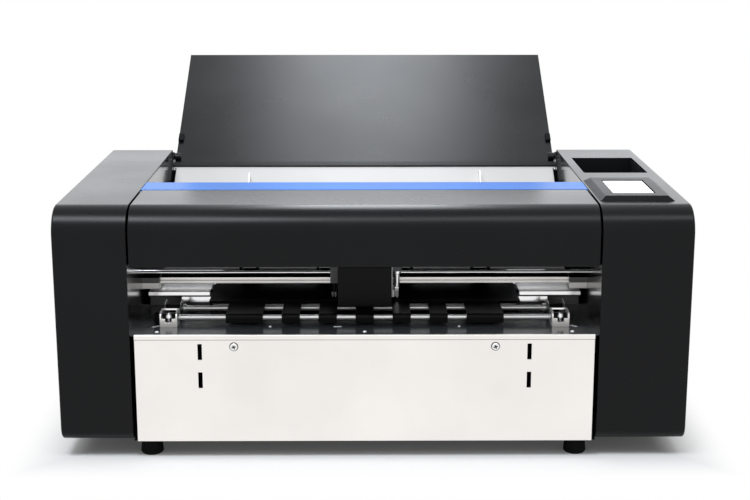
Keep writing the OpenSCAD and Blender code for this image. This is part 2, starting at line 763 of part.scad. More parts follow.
// Blocks that hold the rail's ends; the left one also carries the idler's pin
idler_pin_d = 4;
idler_seat = belt_z - pulley_flange - pass_gap;
rail_block_y = [rail_y - 6, belt_y + 9];
rail_block_z = [rail_z - 5, rail_z + rail_h + 1];
module rail_blocks() in_frame() color(dark_plastic) {
    for (x = [wall_l, wall_r - rail_block_w])
        block([x, rail_block_y[0], rail_block_z[0]], [x + rail_block_w, rail_block_y[1], rail_block_z[1]]);
    block([wall_l, 2 * belt_y - rail_block_y[1], rail_z],
        [wall_l + rail_block_w, rail_block_y[1], idler_seat]);
    bar_z([idler_x, belt_y], idler_seat - cut, belt_z + belt_w + 3 * pulley_flange, idler_pin_d);
}

// Bent steel brackets on the deck, notched in front, that hold the exit shafts' bushes
bracket_ahead = 14;
bracket_behind = 10;
bracket_ear_r = 6;
bracket_ear_up = 9;
bracket_ear_z = exit_z + bracket_ear_up;
bracket_front_up = 2;
bracket_front_z = exit_z + bracket_front_up;
notch_w = 7;
notch_deep = 4.5;
notch_z = bracket_front_z - notch_deep;
module exit_bracket(x, y) {
    ends = [x - exit_bracket_w / 2, x + exit_bracket_w / 2];
    bracket_y = [y - bracket_ahead, y + bracket_behind];
    difference() {
        union() {
            for (e = [ends[0], ends[1] - sheet_t]) along_x(e, e + sheet_t)
                rounded([bracket_y[0], deck_z], [bracket_y[1], bracket_ear_z],
                    [0, 0, bracket_ear_r, bracket_ear_r]);
            block([ends[0], bracket_y[0], deck_z], [ends[1], bracket_y[1], deck_z + sheet_t]);
            block([ends[0], bracket_y[0], deck_z], [ends[1], bracket_y[0] + sheet_t, bracket_front_z]);
        }
        bar_x(ends[0] - cut, ends[1] + cut, [y, exit_z], exit_bush_d + 2 * run_fit);
        block([x - notch_w / 2, bracket_y[0] - cut, notch_z],
            [x + notch_w / 2, bracket_y[0] + sheet_t + cut, bracket_ear_z]);
    }
}
module exit_brackets() in_frame() color(bright_steel)
    for (x = exit_sides) for (y = exit_ys) exit_bracket(x, y);

// Plain bearing with its bore
module bush(x0, x1, at, d, bore) difference() {
    bar_x(x0, x1, at, d);
    bar_x(x0 - cut, x1 + cut, at, bore + 2 * run_fit);
}
module shaft_bushes() in_frame() color(brass_tone) {
    for (x = exit_sides) for (y = exit_ys)
        bush(x - exit_bracket_w / 2, x + exit_bracket_w / 2, [y, exit_z], exit_bush_d, exit_shaft_d);
    for (a = [drive_at, pick_at]) {
        bush(wall_l - plate_t, wall_l, a, bush_d, shaft_d);
        bush(wall_l, wall_l + bush_flange_t, a, bush_flange_d, shaft_d);
        bush(wall_r, wall_r + plate_t, a, bush_d, shaft_d);
        bush(wall_r - bush_flange_t, wall_r, a, bush_flange_d, shaft_d);
    }
}

// Outline of a square motor with cut corners, its boss and its screw posts
motor_corner = 1.27;
motor_boss_d = 22;
motor_post_d = 5;
motor_post_at = 15.5;
module motor_outline() intersection() {
    square(motor_w, center = true);
    rotate(45) square(motor_w * motor_corner, center = true);
}

// Motor of the carriage belt, hung under the cross beam with its shaft down
module carriage_motor() in_frame() color(dark_plastic) translate([belt_motor_x, belt_y, 0]) difference() {
    union() {
        translate([0, 0, belt_motor_z]) linear_extrude(beam_z - belt_motor_z) motor_outline();
        translate([0, 0, belt_motor_z - motor_boss_h]) cylinder(d = motor_boss_d, h = motor_boss_h + cut);
    }
    translate([0, 0, belt_motor_z - motor_boss_h - cut])
        cylinder(d = motor_shaft_d + 2 * run_fit, h = motor_bore_deep + motor_boss_h + cut);
}

// Toothed belt that pulls the carriage
belt_inner_r = (pulley_d - belt_t) / 2;
module carriage_belt() in_frame() color(rubber_black) translate([0, 0, belt_z]) linear_extrude(belt_w)
    belt_outline([idler_x, belt_y], [belt_motor_x, belt_y], belt_inner_r);

// Motor of the drive roller, on four posts outside the left side plate
feed_motor_x = wall_l - plate_t - feed_post_l;
feed_motor_l = 38;
feed_tilt = atan2(pick_at[1] - drive_at[1], pick_at[0] - drive_at[0]);
module feed_motor() in_frame() color(dark_plastic) difference() {
    union() {
        along_x(feed_motor_x - feed_motor_l, feed_motor_x)
            translate(drive_at) rotate(feed_tilt) motor_outline();
        along_x(feed_motor_x - cut, wall_l - plate_t) translate(drive_at) rotate(feed_tilt)
            for (y = [-1, 1]) for (z = [-1, 1]) translate(motor_post_at * [y, z]) circle(d = motor_post_d);
    }
    bar_x(feed_motor_x - motor_bore_deep, feed_motor_x + cut, drive_at, shaft_d + 2 * run_fit);
}

// Belt from the drive roller to the pick shaft, behind the left side plate
module pick_belt() in_frame() color(rubber_black)
    along_x(feed_pulley_x + belt_inset, feed_pulley_x + feed_pulley_w - belt_inset)
        belt_outline(drive_at, pick_at, feed_pulley_r + pass_gap);

// Small motor of the exit shaft, on a plate under the deck
module exit_motor() in_frame() color(dark_plastic) difference() {
    union() {
        block([exit_plate_x, exit_y - exit_plate_r, exit_motor_at[1] - exit_plate_r],
            [exit_plate_x + exit_plate_t, exit_y + exit_plate_r, deck_z - sheet_t]);
        bar_x(exit_plate_x + cut, exit_plate_x + exit_motor_l, exit_motor_at, exit_motor_d);
    }
    bar_x(exit_plate_x - cut, exit_plate_x + motor_bore_deep, exit_motor_at,
        exit_motor_shaft_d + 2 * run_fit);
}
module exit_belt() in_frame() color(rubber_black)
    along_x(exit_pulley_x + belt_inset, exit_pulley_x + exit_pulley_w - belt_inset)
        belt_outline(exit_motor_at, [exit_y, exit_z], exit_belt_r);

// Fixed rod that the pinch arms swing on
module pinch_shaft() in_frame() color(bright_steel) bar_x(wall_l, wall_r, pinch_pivot, pinch_pivot_d);

// Raised frame round the touch screen, with sloping sides
module bezel_side(lo, hi) polygon([
    [lo, body_h], [hi, body_h], [hi - bezel_chamfer, body_h + bezel_h], [lo + bezel_chamfer, body_h + bezel_h]
]);
module control_bezel() in_frame() color(black_coat) difference() {
    intersection() {
        along_y(bezel_y, bezel_y + bezel_l) bezel_side(bezel_x - bezel_w / 2, bezel_x + bezel_w / 2);
        along_x(bay_r, overall_w / 2) bezel_side(bezel_y, bezel_y + bezel_l);
    }
    block([bezel_x - screen_w / 2, screen_y, body_h - cut],
        [bezel_x + screen_w / 2, screen_y + screen_l, body_h + bezel_h + cut]);
}

// Touch screen, a little below the bezel's face
screen_sunk = 1;
module touch_screen() in_frame() color(screen_white)
    block([bezel_x - screen_w / 2 + pass_gap, screen_y + pass_gap, body_h],
        [bezel_x + screen_w / 2 - pass_gap, screen_y + screen_l - pass_gap, body_h + bezel_h - screen_sunk]);

// Open tub in the right cover for tools
module pocket_space(inset, z0, z1) block(
    [control_x - pocket_w / 2 + inset, pocket_y + inset, z0],
    [control_x + pocket_w / 2 - inset, pocket_y + pocket_l - inset, z1]);
module pocket_tray() in_frame() color(black_coat) difference() {
    pocket_space(pass_gap, body_h - pocket_deep - pocket_t, body_h);
    pocket_space(pass_gap + pocket_t, body_h - pocket_deep, body_h + cut);
}

// Control board on posts outside the right side plate
board_t = 1.6;
board_x = wall_r + plate_t + 8;
board_y = [60, 205];
board_z = [60, 190];
board_post_d = 6;
board_post_in = 8;
chip = [5, 24, 24];
chip_first = [board_y[0] + 24, board_z[0] + 50];
chip_step = 38;
module main_board() in_frame() color(board_green) {
    block([board_x, board_y[0], board_z[0]], [board_x + board_t, board_y[1], board_z[1]]);
    for (y = [board_y[0] + board_post_in, board_y[1] - board_post_in])
        for (z = [board_z[0] + board_post_in, board_z[1] - board_post_in])
            bar_x(wall_r + plate_t, board_x + board_t, [y, z], board_post_d);
    for (k = [0 : 2])
        translate([board_x + board_t / 2, chip_first[0] + chip_step * k, chip_first[1]]) cube(chip);
}

// Closed power supply on the base pan
supply_w = 160;
supply_d = 100;
supply_h = 42;
supply_left = 100;
supply_rear_gap = 70;
supply_at = [bay_x - supply_left, body_d - supply_rear_gap - supply_d, floor_z];
module power_supply() in_frame() color(steel) translate(supply_at) cube([supply_w, supply_d, supply_h]);

// Power inlet with a socket recess and the housing of the rocker switch
rocker_w = 13;
rocker_h = 22;
rocker_sunk = 3;
rocker_up = 13;
rocker_at = [body_d - rocker_sunk, inlet_at[1] + rocker_up];
rocker_pin_d = 2.5;
rocker_tilt = -8;
rocker_well = 9;
rocker_room = 1;
rocker_pin_end = 2.5;
rocker_rise = 4.5;
rocker_dip = 3;
rocker_root = 4;
inlet_flange = 3;
inlet_flange_t = 2;
socket_w = 24;
socket_h = 17;
socket_down = 13.5;
socket_z = inlet_at[1] - socket_down;
socket_deep = 17;
contact = [2, 14, 6];
contact_step = 7;
module inlet_box(w, h, z, y0, y1)
    block([inlet_at[0] - w / 2, y0, z - h / 2], [inlet_at[0] + w / 2, y1, z + h / 2]);
module power_inlet() in_frame() color(dark_plastic) difference() {
    outside = body_d + inlet_flange_t;
    union() {
        inlet_box(inlet_w, inlet_h, inlet_at[1], body_d - inlet_deep, outside);
        inlet_box(inlet_w + 2 * inlet_flange, inlet_h + 2 * inlet_flange, inlet_at[1], body_d, outside);
    }
    inlet_box(rocker_w + 2 * pass_gap, rocker_h + 2 * rocker_room, rocker_at[1],
        rocker_at[0] - rocker_well, outside + cut);
    bar_x(inlet_at[0] - rocker_w / 2 - rocker_pin_end - pass_gap,
        inlet_at[0] + rocker_w / 2 + rocker_pin_end + pass_gap, rocker_at, rocker_pin_d + 2 * run_fit);
    difference() {
        inlet_box(socket_w, socket_h, socket_z, body_d - socket_deep, outside + cut);
        for (k = [-1, 0, 1])
            translate([inlet_at[0] + k * contact_step, body_d - socket_deep + contact[1] / 2 - cut, socket_z])
                cube(contact, center = true);
    }
}
module power_rocker() in_frame() color(rubber_black) {
    translate([0, rocker_at[0], rocker_at[1]]) rotate([rocker_tilt, 0, 0])
        along_x(inlet_at[0] - rocker_w / 2, inlet_at[0] + rocker_w / 2) polygon([
            [rocker_rise, rocker_room - rocker_h / 2], [rocker_dip, 0],
            [rocker_rise, rocker_h / 2 - rocker_room],
            [-rocker_root, rocker_root], [-rocker_root, -rocker_root]
        ]);
    bar_x(inlet_at[0] - rocker_w / 2 - rocker_pin_end, inlet_at[0] + rocker_w / 2 + rocker_pin_end,
        rocker_at, rocker_pin_d);
}

// Hinged black hood over the cutting carriage, with a cheek and a hinge ear at each end
cheek_d = hood_d - 10;
cheek_r = 40;
hood_ear_r = hood_pin_d / 2 + 2.4;
hood_ear_l = 14;
module hood() in_frame() color(black_coat) difference() {
    union() {
        along_x(bay_l + hood_gap, bay_r - hood_gap) difference() {
            rounded([0, body_h - hood_drop], [hood_d, body_h], [0, 0, 0, top_r]);
            rounded([cover_t, body_h - hood_drop - cut], [hood_d + cut, body_h - cover_t],
                [0, 0, 0, top_r - cover_t]);
        }
        for (x = [bay_l + hood_gap, bay_r - hood_gap - cover_t]) along_x(x, x + cover_t) {
            rounded([0, body_h - hood_drop], [cheek_d, body_h], [0, cheek_r, 0, top_r]);
            translate(hood_axis) circle(hood_ear_r);
            translate(hood_axis - [hood_ear_l, hood_ear_r]) square([hood_ear_l, 2 * hood_ear_r]);
        }
    }
    bar_x(bay_l, bay_r, hood_axis, hood_pin_d + 2 * run_fit);
}

// Rear lid, open: its inner face holds the sheets
module lid_knuckle(x0) along_x(x0, x0 + lid_knuckle_w) difference() {
    union() {
        translate(lid_axis) circle(lid_knuckle_r);
        translate(lid_axis - [lid_knuckle_r, 0])
            square([2 * lid_knuckle_r, lid_top - lid_t / 2 - lid_axis[1]]);
    }
    translate(lid_axis) circle(d = pin_d + 2 * run_fit);
}
module lid() in_frame() lid_opened() color(black_coat) {
    along_x(bay_l + lid_gap, bay_r - lid_gap)
        rounded([lid_front, lid_top - lid_t], [lid_axis[0] + lid_tail, lid_top],
            [0, 0, lid_edge_r, lid_edge_r]);
    lid_knuckle(bay_l + lid_gap);
    lid_knuckle(bay_r - lid_gap - lid_knuckle_w);
}

// Rubber bumpers on the lid's side edges
bumper = [7, 14, 3.5];
bumper_in = 52;
bumper_y = lid_axis[0] - bumper_in;
module lid_bumpers() in_frame() lid_opened() color(rubber_black)
    for (x = [bay_l + lid_gap, bay_r - lid_gap - bumper[0]])
        translate([x, bumper_y, lid_top - lid_t - bumper[2]]) cube(bumper);

// Carriage block on the rail and the rod, with an ear and a lug for the tools and a clamp on the belt
clamp_w = 20;
clamp_t = 2.5;
clamp_y = belt_y - belt_inner_r + pass_gap;
clamp_top = carriage_top - 1;
module carriage_body() in_frame() color(dark_plastic) difference() {
    union() {
        block([carriage_l, block_front, carriage_low], [carriage_r, carriage_rear, carriage_top]);
        block([carriage_l - carriage_left_ear, block_front, carriage_top - ear_h],
            [carriage_l + cut, rail_y - pass_gap, carriage_top]);
        bar_z([holder_x, cut_y], lug_z[0], lug_z[1], lug_d);
        block([carriage_r - cut, cut_y - lug_d / 2, lug_z[0]], [holder_x, cut_y + lug_d / 2, lug_z[1]]);
        block([bay_x - clamp_w / 2, carriage_rear - cut, belt_z + belt_w + pass_gap],
            [bay_x + clamp_w / 2, clamp_y + clamp_t, clamp_top]);
        block([bay_x - clamp_w / 2, clamp_y, belt_z], [bay_x + clamp_w / 2, clamp_y + clamp_t, clamp_top]);
    }
    block([carriage_l - cut, rail_y - pass_gap, rail_z - pass_gap],
        [carriage_r + cut, rail_y + rail_d + pass_gap, rail_z + rail_h + pass_gap]);
    bar_x(carriage_l - cut, carriage_r + cut, rod_at, rod_d + 2 * run_fit);
    bar_z([holder_x, cut_y], lug_z[0] - cut, lug_z[1] + cut, holder_d + 2 * run_fit);
    bar_z([crease_x, cut_y], carriage_low - cut, carriage_top + cut, crease_d + 2 * run_fit);
}

// Black sheet over the carriage's front and top
cover_up = 1.6;
cover_low = platen_z + cover_up;
cover_bend_r = 4;
module carriage_cover() in_frame() color(black_coat) along_x(carriage_l, carriage_r) difference() {
    rounded([carriage_front, cover_low], [carriage_rear, carriage_top + carriage_sheet],
        [0, 0, 0, cover_bend_r]);
    rounded([carriage_front + carriage_sheet, cover_low - cut], [carriage_rear + cut, carriage_top],
        [0, 0, 0, cover_bend_r - carriage_sheet]);
}

// Chrome blade holder that presses down through the lug, and the blade in its end
blade_l = 14;
holder_low = tip_z + blade_l;
holder_cap_d = holder_d + 3;
holder_cap_z = lug_z[1] + tool_travel + pass_gap;
holder_cap_h = 4;
holder_collar_z = lug_z[0] - pass_gap;
blade_w = 4;
blade_t = 0.8;
blade_slant = 3;
module blade_holder() in_frame() color(bright_steel) {
    bar_z([holder_x, cut_y], holder_low, holder_cap_z + cut, holder_d);
    bar_z([holder_x, cut_y], holder_cap_z, holder_cap_z + holder_cap_h, holder_cap_d);
    bar_z([holder_x, cut_y], holder_collar_z - holder_cap_h, holder_collar_z, holder_cap_d);
}
module blade() in_frame() color(bright_steel) along_y(cut_y - blade_t / 2, cut_y + blade_t / 2)
    translate([holder_x, 0]) polygon([
        [-blade_w / 2, holder_low], [-blade_w / 2, tip_z + blade_slant], [blade_w / 4, tip_z],
        [blade_w / 2, tip_z + blade_slant], [blade_w / 2, holder_low]
    ]);

// Creasing tool with a small wheel, on the carriage's left
crease_wheel_r = 3.5;
crease_wheel_t = 1.6;
crease_fork = [6, 5, 2.5];
crease_fork_z = tip_z + 3;
crease_top = carriage_top + 2;
module crease_tool() in_frame() color(bright_steel) {
    bar_z([crease_x, cut_y], crease_fork_z + cut, crease_top, crease_d);
    translate([crease_x, cut_y, crease_fork_z + crease_fork[2] / 2]) cube(crease_fork, center = true);
    bar_x(crease_x - crease_wheel_t / 2, crease_x + crease_wheel_t / 2, [cut_y, tip_z + crease_wheel_r],
        2 * crease_wheel_r);
}

// Belt pulley between two flanges, centred on its own axis along Z
module belt_pulley() {
    cylinder(r = belt_inner_r - pass_gap, h = belt_w + 2 * pulley_flange);
    cylinder(r = belt_inner_r + belt_t, h = pulley_flange - pass_gap);
    translate([0, 0, belt_w + pulley_flange + pass_gap])
        cylinder(r = belt_inner_r + belt_t, h = pulley_flange - pass_gap);
}
motor_shaft_l = belt_motor_z - belt_z + motor_bore_deep - cut;
module belt_drive_pulley() in_frame() color(bright_steel)
    translate([belt_motor_x, belt_y, belt_z - pulley_flange]) {
        belt_pulley();
        cylinder(d = motor_shaft_d, h = motor_shaft_l);
    }
module belt_idler_pulley() in_frame() color(bright_steel)
    translate([idler_x, belt_y, belt_z - pulley_flange]) difference() {
        belt_pulley();
        translate([0, 0, -cut])
            cylinder(d = idler_pin_d + 2 * run_fit, h = belt_w + 2 * pulley_flange + 2 * cut);
    }

// Pulley along X for the small belts
module side_pulley(x0, w, at, r) {
    bar_x(x0, x0 + w, at, 2 * r);
    for (x = [x0, x0 + w - pulley_flange]) bar_x(x, x + pulley_flange, at, 2 * (r + belt_t));
}

// Drive roller with its shaft and the pulley for the pick belt
drive_in = 19;
shaft_end = wall_r + plate_t + 4;
module drive_roller() in_frame() color(bright_steel) {
    bar_x(wall_l + drive_in, wall_r - drive_in, drive_at, drive_d);
    bar_x(feed_motor_x - motor_bore_deep + cut, shaft_end, drive_at, shaft_d);
    side_pulley(feed_pulley_x, feed_pulley_w, drive_at, feed_pulley_r);
}

// Arms that press the pinch rollers on the drive roller, joined by the rollers' axle
pinch_step = pinch_span / (pinch_count - 1);
function pinch_x(k) = bay_x - pinch_span / 2 + k * pinch_step;
module pinch_arms() in_frame() color(dark_plastic) {
    for (k = [0 : pinch_count - 1]) for (s = [-1, 1]) {
        x0 = pinch_x(k) + s * (pinch_w / 2 + pass_gap + pinch_arm_t / 2) - pinch_arm_t / 2;
        along_x(x0, x0 + pinch_arm_t) difference() {
            stadium(pinch_pivot, pinch_at, pinch_arm_w / 2);
            translate(pinch_pivot) circle(d = pinch_pivot_d + 2 * run_fit);
        }
    }
    bar_x(pinch_x(0) - pinch_w, pinch_x(pinch_count - 1) + pinch_w, pinch_at, pinch_axle_d);
}
module pinch_rollers() in_frame() color(rubber_black) for (k = [0 : pinch_count - 1])
    bush(pinch_x(k) - pinch_w / 2, pinch_x(k) + pinch_w / 2, pinch_at, pinch_d, pinch_axle_d);

// Pick shaft with its pulley, and the rubber rollers that push the lowest sheet on
module pick_shaft() in_frame() color(bright_steel) {
    bar_x(feed_pulley_x - 2 * pulley_flange, shaft_end, pick_at, shaft_d);
    side_pulley(feed_pulley_x, feed_pulley_w, pick_at, feed_pulley_r);
}
module pick_rollers() in_frame() color(rubber_black)
    for (s = [-1, 1]) translate([bay_x + s * pick_span / 2, 0, 0]) difference() {
        bar_x(-pick_w / 2, pick_w / 2, pick_at, pick_d);
        bar_x(-pick_w, pick_w, pick_at, shaft_d);
    }

// Chrome exit shafts: the front one with a small pulley outside its left bracket, the rear one with a
// collar inside each bracket, turned by the sheet alone
collar_d = 10;
collar_w = 4;
module exit_shaft() in_frame() color(bright_steel) {
    bar_x(exit_pulley_x - exit_shaft_end, bay_x + exit_shaft_l / 2, [exit_y, exit_z], exit_shaft_d);
    side_pulley(exit_pulley_x, exit_pulley_w, [exit_y, exit_z], exit_pulley_r);
}
module rear_exit_shaft() in_frame() color(bright_steel) {
    collar_x = exit_bracket_x - exit_bracket_w / 2 - pass_gap;
    bar_x(bay_x - exit_shaft_l / 2, bay_x + exit_shaft_l / 2, [exit_ys[1], exit_z], exit_shaft_d);
    for (x = [bay_x - collar_x, bay_x + collar_x - collar_w])
        bar_x(x, x + collar_w, [exit_ys[1], exit_z], collar_d);
}
module exit_motor_pulley() in_frame() color(bright_steel) {
    side_pulley(exit_pulley_x, exit_pulley_w, exit_motor_at, exit_pulley_r);
    bar_x(exit_pulley_x + pulley_flange, exit_plate_x + motor_bore_deep - cut, exit_motor_at,
        exit_motor_shaft_d);
}

// Involute teeth of the pinion, and the straight-sided teeth of the racks
function involute(a) = tan(a) * 180 / PI - a;
play_deg = tooth_play / pitch_r * 180 / PI;
function half_tooth(r) =
    90 / pinion_teeth + involute(pressure_deg) - involute(acos(min(1, base_r / r))) - play_deg;
function polar(r, a) = r * [cos(a), sin(a)];
flank_steps = 4;
flank_low = max(base_r, root_r);
flank = [for (i = [0 : flank_steps]) flank_low + (tip_r - flank_low) * i / flank_steps];
module tooth() polygon(concat(
    [polar(root_r - cut, -half_tooth(flank_low))],
    [for (r = flank) polar(r, -half_tooth(r))],
    [for (i = [flank_steps : -1 : 0]) polar(flank[i], half_tooth(flank[i]))],
    [polar(root_r - cut, half_tooth(flank_low))]
));
module guide_pinion() in_frame() on_chute() color(screen_white)
    translate([bay_x, pinion_s, rack_n - rack_deep]) difference() {
        linear_extrude(rack_deep) {
            circle(root_r);
            for (k = [0 : pinion_teeth - 1]) rotate(90 + 360 * k / pinion_teeth) tooth();
        }
        translate([0, 0, -cut]) cylinder(d = stud_d + 2 * run_fit, h = rack_deep + 2 * cut);
    }
module rack(x0, x1, first, last) {
    pitch = PI * tooth_m;
    half = pitch / 4 - tooth_play;
    lean = tan(pressure_deg);
    translate([x0, pitch_r + tooth_in]) square([x1 - x0, rack_back - pitch_r - tooth_in]);
    for (k = [first : last]) translate([(k + 0.5) * pitch, pitch_r]) polygon([
        [-half + tooth_out * lean, -tooth_out], [half - tooth_out * lean, -tooth_out],
        [half + tooth_in * lean, tooth_in], [half, tooth_in + cut],
        [-half, tooth_in + cut], [-half - tooth_in * lean, tooth_in]
    ]);
}

// A side guide drawn about the pinion: an upright fin, a stem through the chute and its rack
module side_guide() {
    x_in = -guide_span / 2;
    translate([x_in - guide_t, 0, 0]) rotate([90, 0, 90]) linear_extrude(guide_t) polygon([
        [guide_s[0] - pinion_s, pass_gap], [guide_s[1] - pinion_s, pass_gap],
        [guide_s[1] - pinion_s - guide_slant[1], guide_h], [guide_s[0] - pinion_s + guide_slant[0], guide_h]
    ]);
    block([x_in - guide_t, stem_s - rack_stem / 2, rack_n - rack_deep],
        [x_in + rack_stem - guide_t, stem_s + rack_stem / 2, pass_gap + guide_t]);
    translate([0, 0, rack_n - rack_deep]) linear_extrude(rack_deep)
        rack(x_in - guide_t, rack_reach, -ceil((guide_travel + tip_r) / (PI * tooth_m)), 2);
}
module left_guide() in_frame() on_chute() color(steel) translate([bay_x, pinion_s, 0]) side_guide();
module right_guide() in_frame() on_chute() color(steel) translate([bay_x, pinion_s, 0]) mirror([1, 0, 0])
    mirror([0, 1, 0]) side_guide();

base_pan();
feet();
screws();
left_side_plate();
right_side_plate();
left_cover();
right_cover();
front_plate();
deck_plate();
rear_panel();
cross_beam();
trim_strip();
platen();
cutting_strip();
side_shelves();
feed_chute();
feed_gate();
hinge_strip();
lid_brackets();
hinge_pins();
carriage_rail();
guide_rod();
rail_blocks();
exit_brackets();
shaft_bushes();
carriage_motor();
carriage_belt();
feed_motor();
pick_belt();
exit_motor();
exit_belt();
pinch_shaft();
control_bezel();
touch_screen();
pocket_tray();
main_board();
power_supply();
power_inlet();
hood();
lid();
lid_bumpers();
carriage_body();
carriage_cover();
blade_holder();
blade();
crease_tool();
belt_drive_pulley();
belt_idler_pulley();
drive_roller();
pinch_arms();
pinch_rollers();
pick_shaft();
pick_rollers();
exit_shaft();
rear_exit_shaft();
exit_motor_pulley();
left_guide();
right_guide();
guide_pinion();
power_rocker();
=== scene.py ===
# %% [markdown]
# # A desk-top sheet cutter, dressed for the studio
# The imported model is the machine's construction: every piece is at its real size and place.
# This lesson gives those pieces their finishes and their softened edges, and models again the
# shells that carry the look. It starts by loading the frame and noting its box, because nothing
# that is added later may make the machine bigger.

# %% Load the frame
import json
import math

import bmesh
import bpy
from mathutils import Matrix, Vector


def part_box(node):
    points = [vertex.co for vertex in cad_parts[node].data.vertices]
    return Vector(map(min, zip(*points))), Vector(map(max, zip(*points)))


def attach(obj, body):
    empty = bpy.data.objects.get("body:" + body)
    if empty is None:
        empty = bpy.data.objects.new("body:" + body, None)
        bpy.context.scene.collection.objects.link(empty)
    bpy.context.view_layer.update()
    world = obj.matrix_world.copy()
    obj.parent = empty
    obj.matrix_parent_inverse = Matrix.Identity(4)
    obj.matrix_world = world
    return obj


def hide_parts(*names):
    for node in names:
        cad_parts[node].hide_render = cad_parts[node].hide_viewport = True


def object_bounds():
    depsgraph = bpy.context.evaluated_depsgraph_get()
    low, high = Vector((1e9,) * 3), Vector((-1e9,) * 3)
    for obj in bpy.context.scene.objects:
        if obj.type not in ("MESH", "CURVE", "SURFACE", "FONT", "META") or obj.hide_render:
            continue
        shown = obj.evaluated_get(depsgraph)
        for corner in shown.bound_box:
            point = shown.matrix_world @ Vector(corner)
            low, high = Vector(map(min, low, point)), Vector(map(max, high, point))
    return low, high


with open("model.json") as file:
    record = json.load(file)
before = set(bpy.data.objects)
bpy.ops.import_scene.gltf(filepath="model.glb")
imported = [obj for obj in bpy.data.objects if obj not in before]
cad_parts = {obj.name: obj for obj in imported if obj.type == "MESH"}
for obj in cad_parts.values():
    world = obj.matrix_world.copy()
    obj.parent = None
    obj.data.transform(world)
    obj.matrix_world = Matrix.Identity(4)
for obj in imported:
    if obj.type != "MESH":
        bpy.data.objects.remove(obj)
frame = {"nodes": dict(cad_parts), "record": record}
cad_low, cad_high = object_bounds()
MM = 0.001
print("CAD box in mm:", [round(v / MM, 1) for v in (*cad_low, *cad_high)])

# %% [markdown]
# ## Camera
# The camera stands in front of the machine, a little above it, and looks slightly down. A short lens
# close by would spread the end covers apart, so it is a long lens further away. Its length is given
# in pixels of the picture and turned into millimetres on the sensor, which is Blender's measure.

# %% Camera
PICTURE_W = 750
FOCAL_PX = 1433.8
SENSOR_MM = 36.0
LOOK_DOWN = 13.21
TURN_RIGHT = 0.37
CAMERA_PLACE = (-0.0080, -1.7806, 0.5839)
scene = bpy.context.scene
camera_data = bpy.data.cameras.new("studio_camera")
camera_data.sensor_width = SENSOR_MM
camera_data.lens = FOCAL_PX * SENSOR_MM / PICTURE_W
camera = bpy.data.objects.new("studio_camera", camera_data)
camera.location = CAMERA_PLACE
camera.rotation_euler = (math.radians(90 - LOOK_DOWN), 0, math.radians(-TURN_RIGHT))
scene.collection.objects.link(camera)
scene.camera = camera
print("camera lens", round(camera_data.lens, 2), "mm")

# %% [markdown]
# ## Node helpers
# A finish is a Principled shader whose colour, roughness and bump vary a little over the surface.
# These helpers build the few nodes that every finish needs. They all read Object coordinates, and
# since each piece sits at the origin, a pattern has the same scale in metres everywhere.

# %% Node helpers
NOISE_LOW, NOISE_HIGH = 0.3, 0.7


def set_inputs(node, values):
    """Sets sockets of a node by their names."""
    for socket, value in values.items():
        node.inputs[socket].default_value = value


def start_finish(name, color, roughness, metallic=0.0, specular=0.5):
    """A new material with its Principled shader set to plain values."""
    finish = bpy.data.materials.new(name)
    finish.use_nodes = True
    tree = finish.node_tree
    shader = tree.nodes["Principled BSDF"]
    set_inputs(shader, {"Base Color": (*color, 1), "Roughness": roughness, "Metallic": metallic,
                        "Specular IOR Level": specular})
    return finish, tree, shader


def noise(tree, stretch, detail):
    """Noise on Object coordinates, with its own scale along X, Y and Z."""
    coords = tree.nodes.new("ShaderNodeTexCoord")
    mapping = tree.nodes.new("ShaderNodeMapping")
    set_inputs(mapping, {"Scale": stretch})
    texture = tree.nodes.new("ShaderNodeTexNoise")
    set_inputs(texture, {"Scale": 1.0, "Detail": detail})
    tree.links.new(coords.outputs["Object"], mapping.inputs["Vector"])
    tree.links.new(mapping.outputs["Vector"], texture.inputs["Vector"])
    return texture.outputs[0]


def spread(tree, value, low, high, start=NOISE_LOW, end=NOISE_HIGH):
    """Spreads a value over a range. Noise seldom leaves its middle range."""
    remap = tree.nodes.new("ShaderNodeMapRange")
    set_inputs(remap, {"From Min": start, "From Max": end, "To Min": low, "To Max": high})
    tree.links.new(value, remap.inputs["Value"])
    return remap.outputs["Result"]


def vary_color(tree, shader, value, color, factors):
    """Lets the base colour wander between a darker and a lighter tone of itself."""
    dark, light = (tuple(c * factor for c in color) for factor in factors)
    mix = tree.nodes.new("ShaderNodeMix")
    mix.data_type = "RGBA"
    set_inputs(mix, {"A": (*dark, 1), "B": (*light, 1)})
    tree.links.new(value, mix.inputs["Factor"])
    tree.links.new(mix.outputs["Result"], shader.inputs["Base Color"])


def raise_bump(tree, shader, height, strength, distance):
    """Adds relief to the surface."""
    bump = tree.nodes.new("ShaderNodeBump")
    set_inputs(bump, {"Strength": strength, "Distance": distance})
    tree.links.new(height, bump.inputs["Height"])
    tree.links.new(bump.outputs["Normal"], shader.inputs["Normal"])


print("node helpers ready")

# %% [markdown]
# ## Coats and plastics
# The covers are powder coated: matt black with a very fine grain. Smaller black sheets are smoother
# and glossier, and the mouldings are plastic. A black that mirrors nothing is painted shade: it darkens
# the rims of narrow gaps and faces that lie in the dark, and it is also the own black of the chute's
# rails.
# A photographed texture could give the grain, but noise has no seams and no fixed size. So a coat is
# two noises: a fine one in the bump, and a slow one that lets tone and gloss drift.

# %% Coats and plastics
COAT_TONES = (0.86, 1.16)
GLOSS_DRIFT = 0.03
SLOW_DRIFT = (7, 7, 7)
FINE_DETAIL, SLOW_DETAIL = 2, 4
COAT_RELIEF = 0.06 * MM


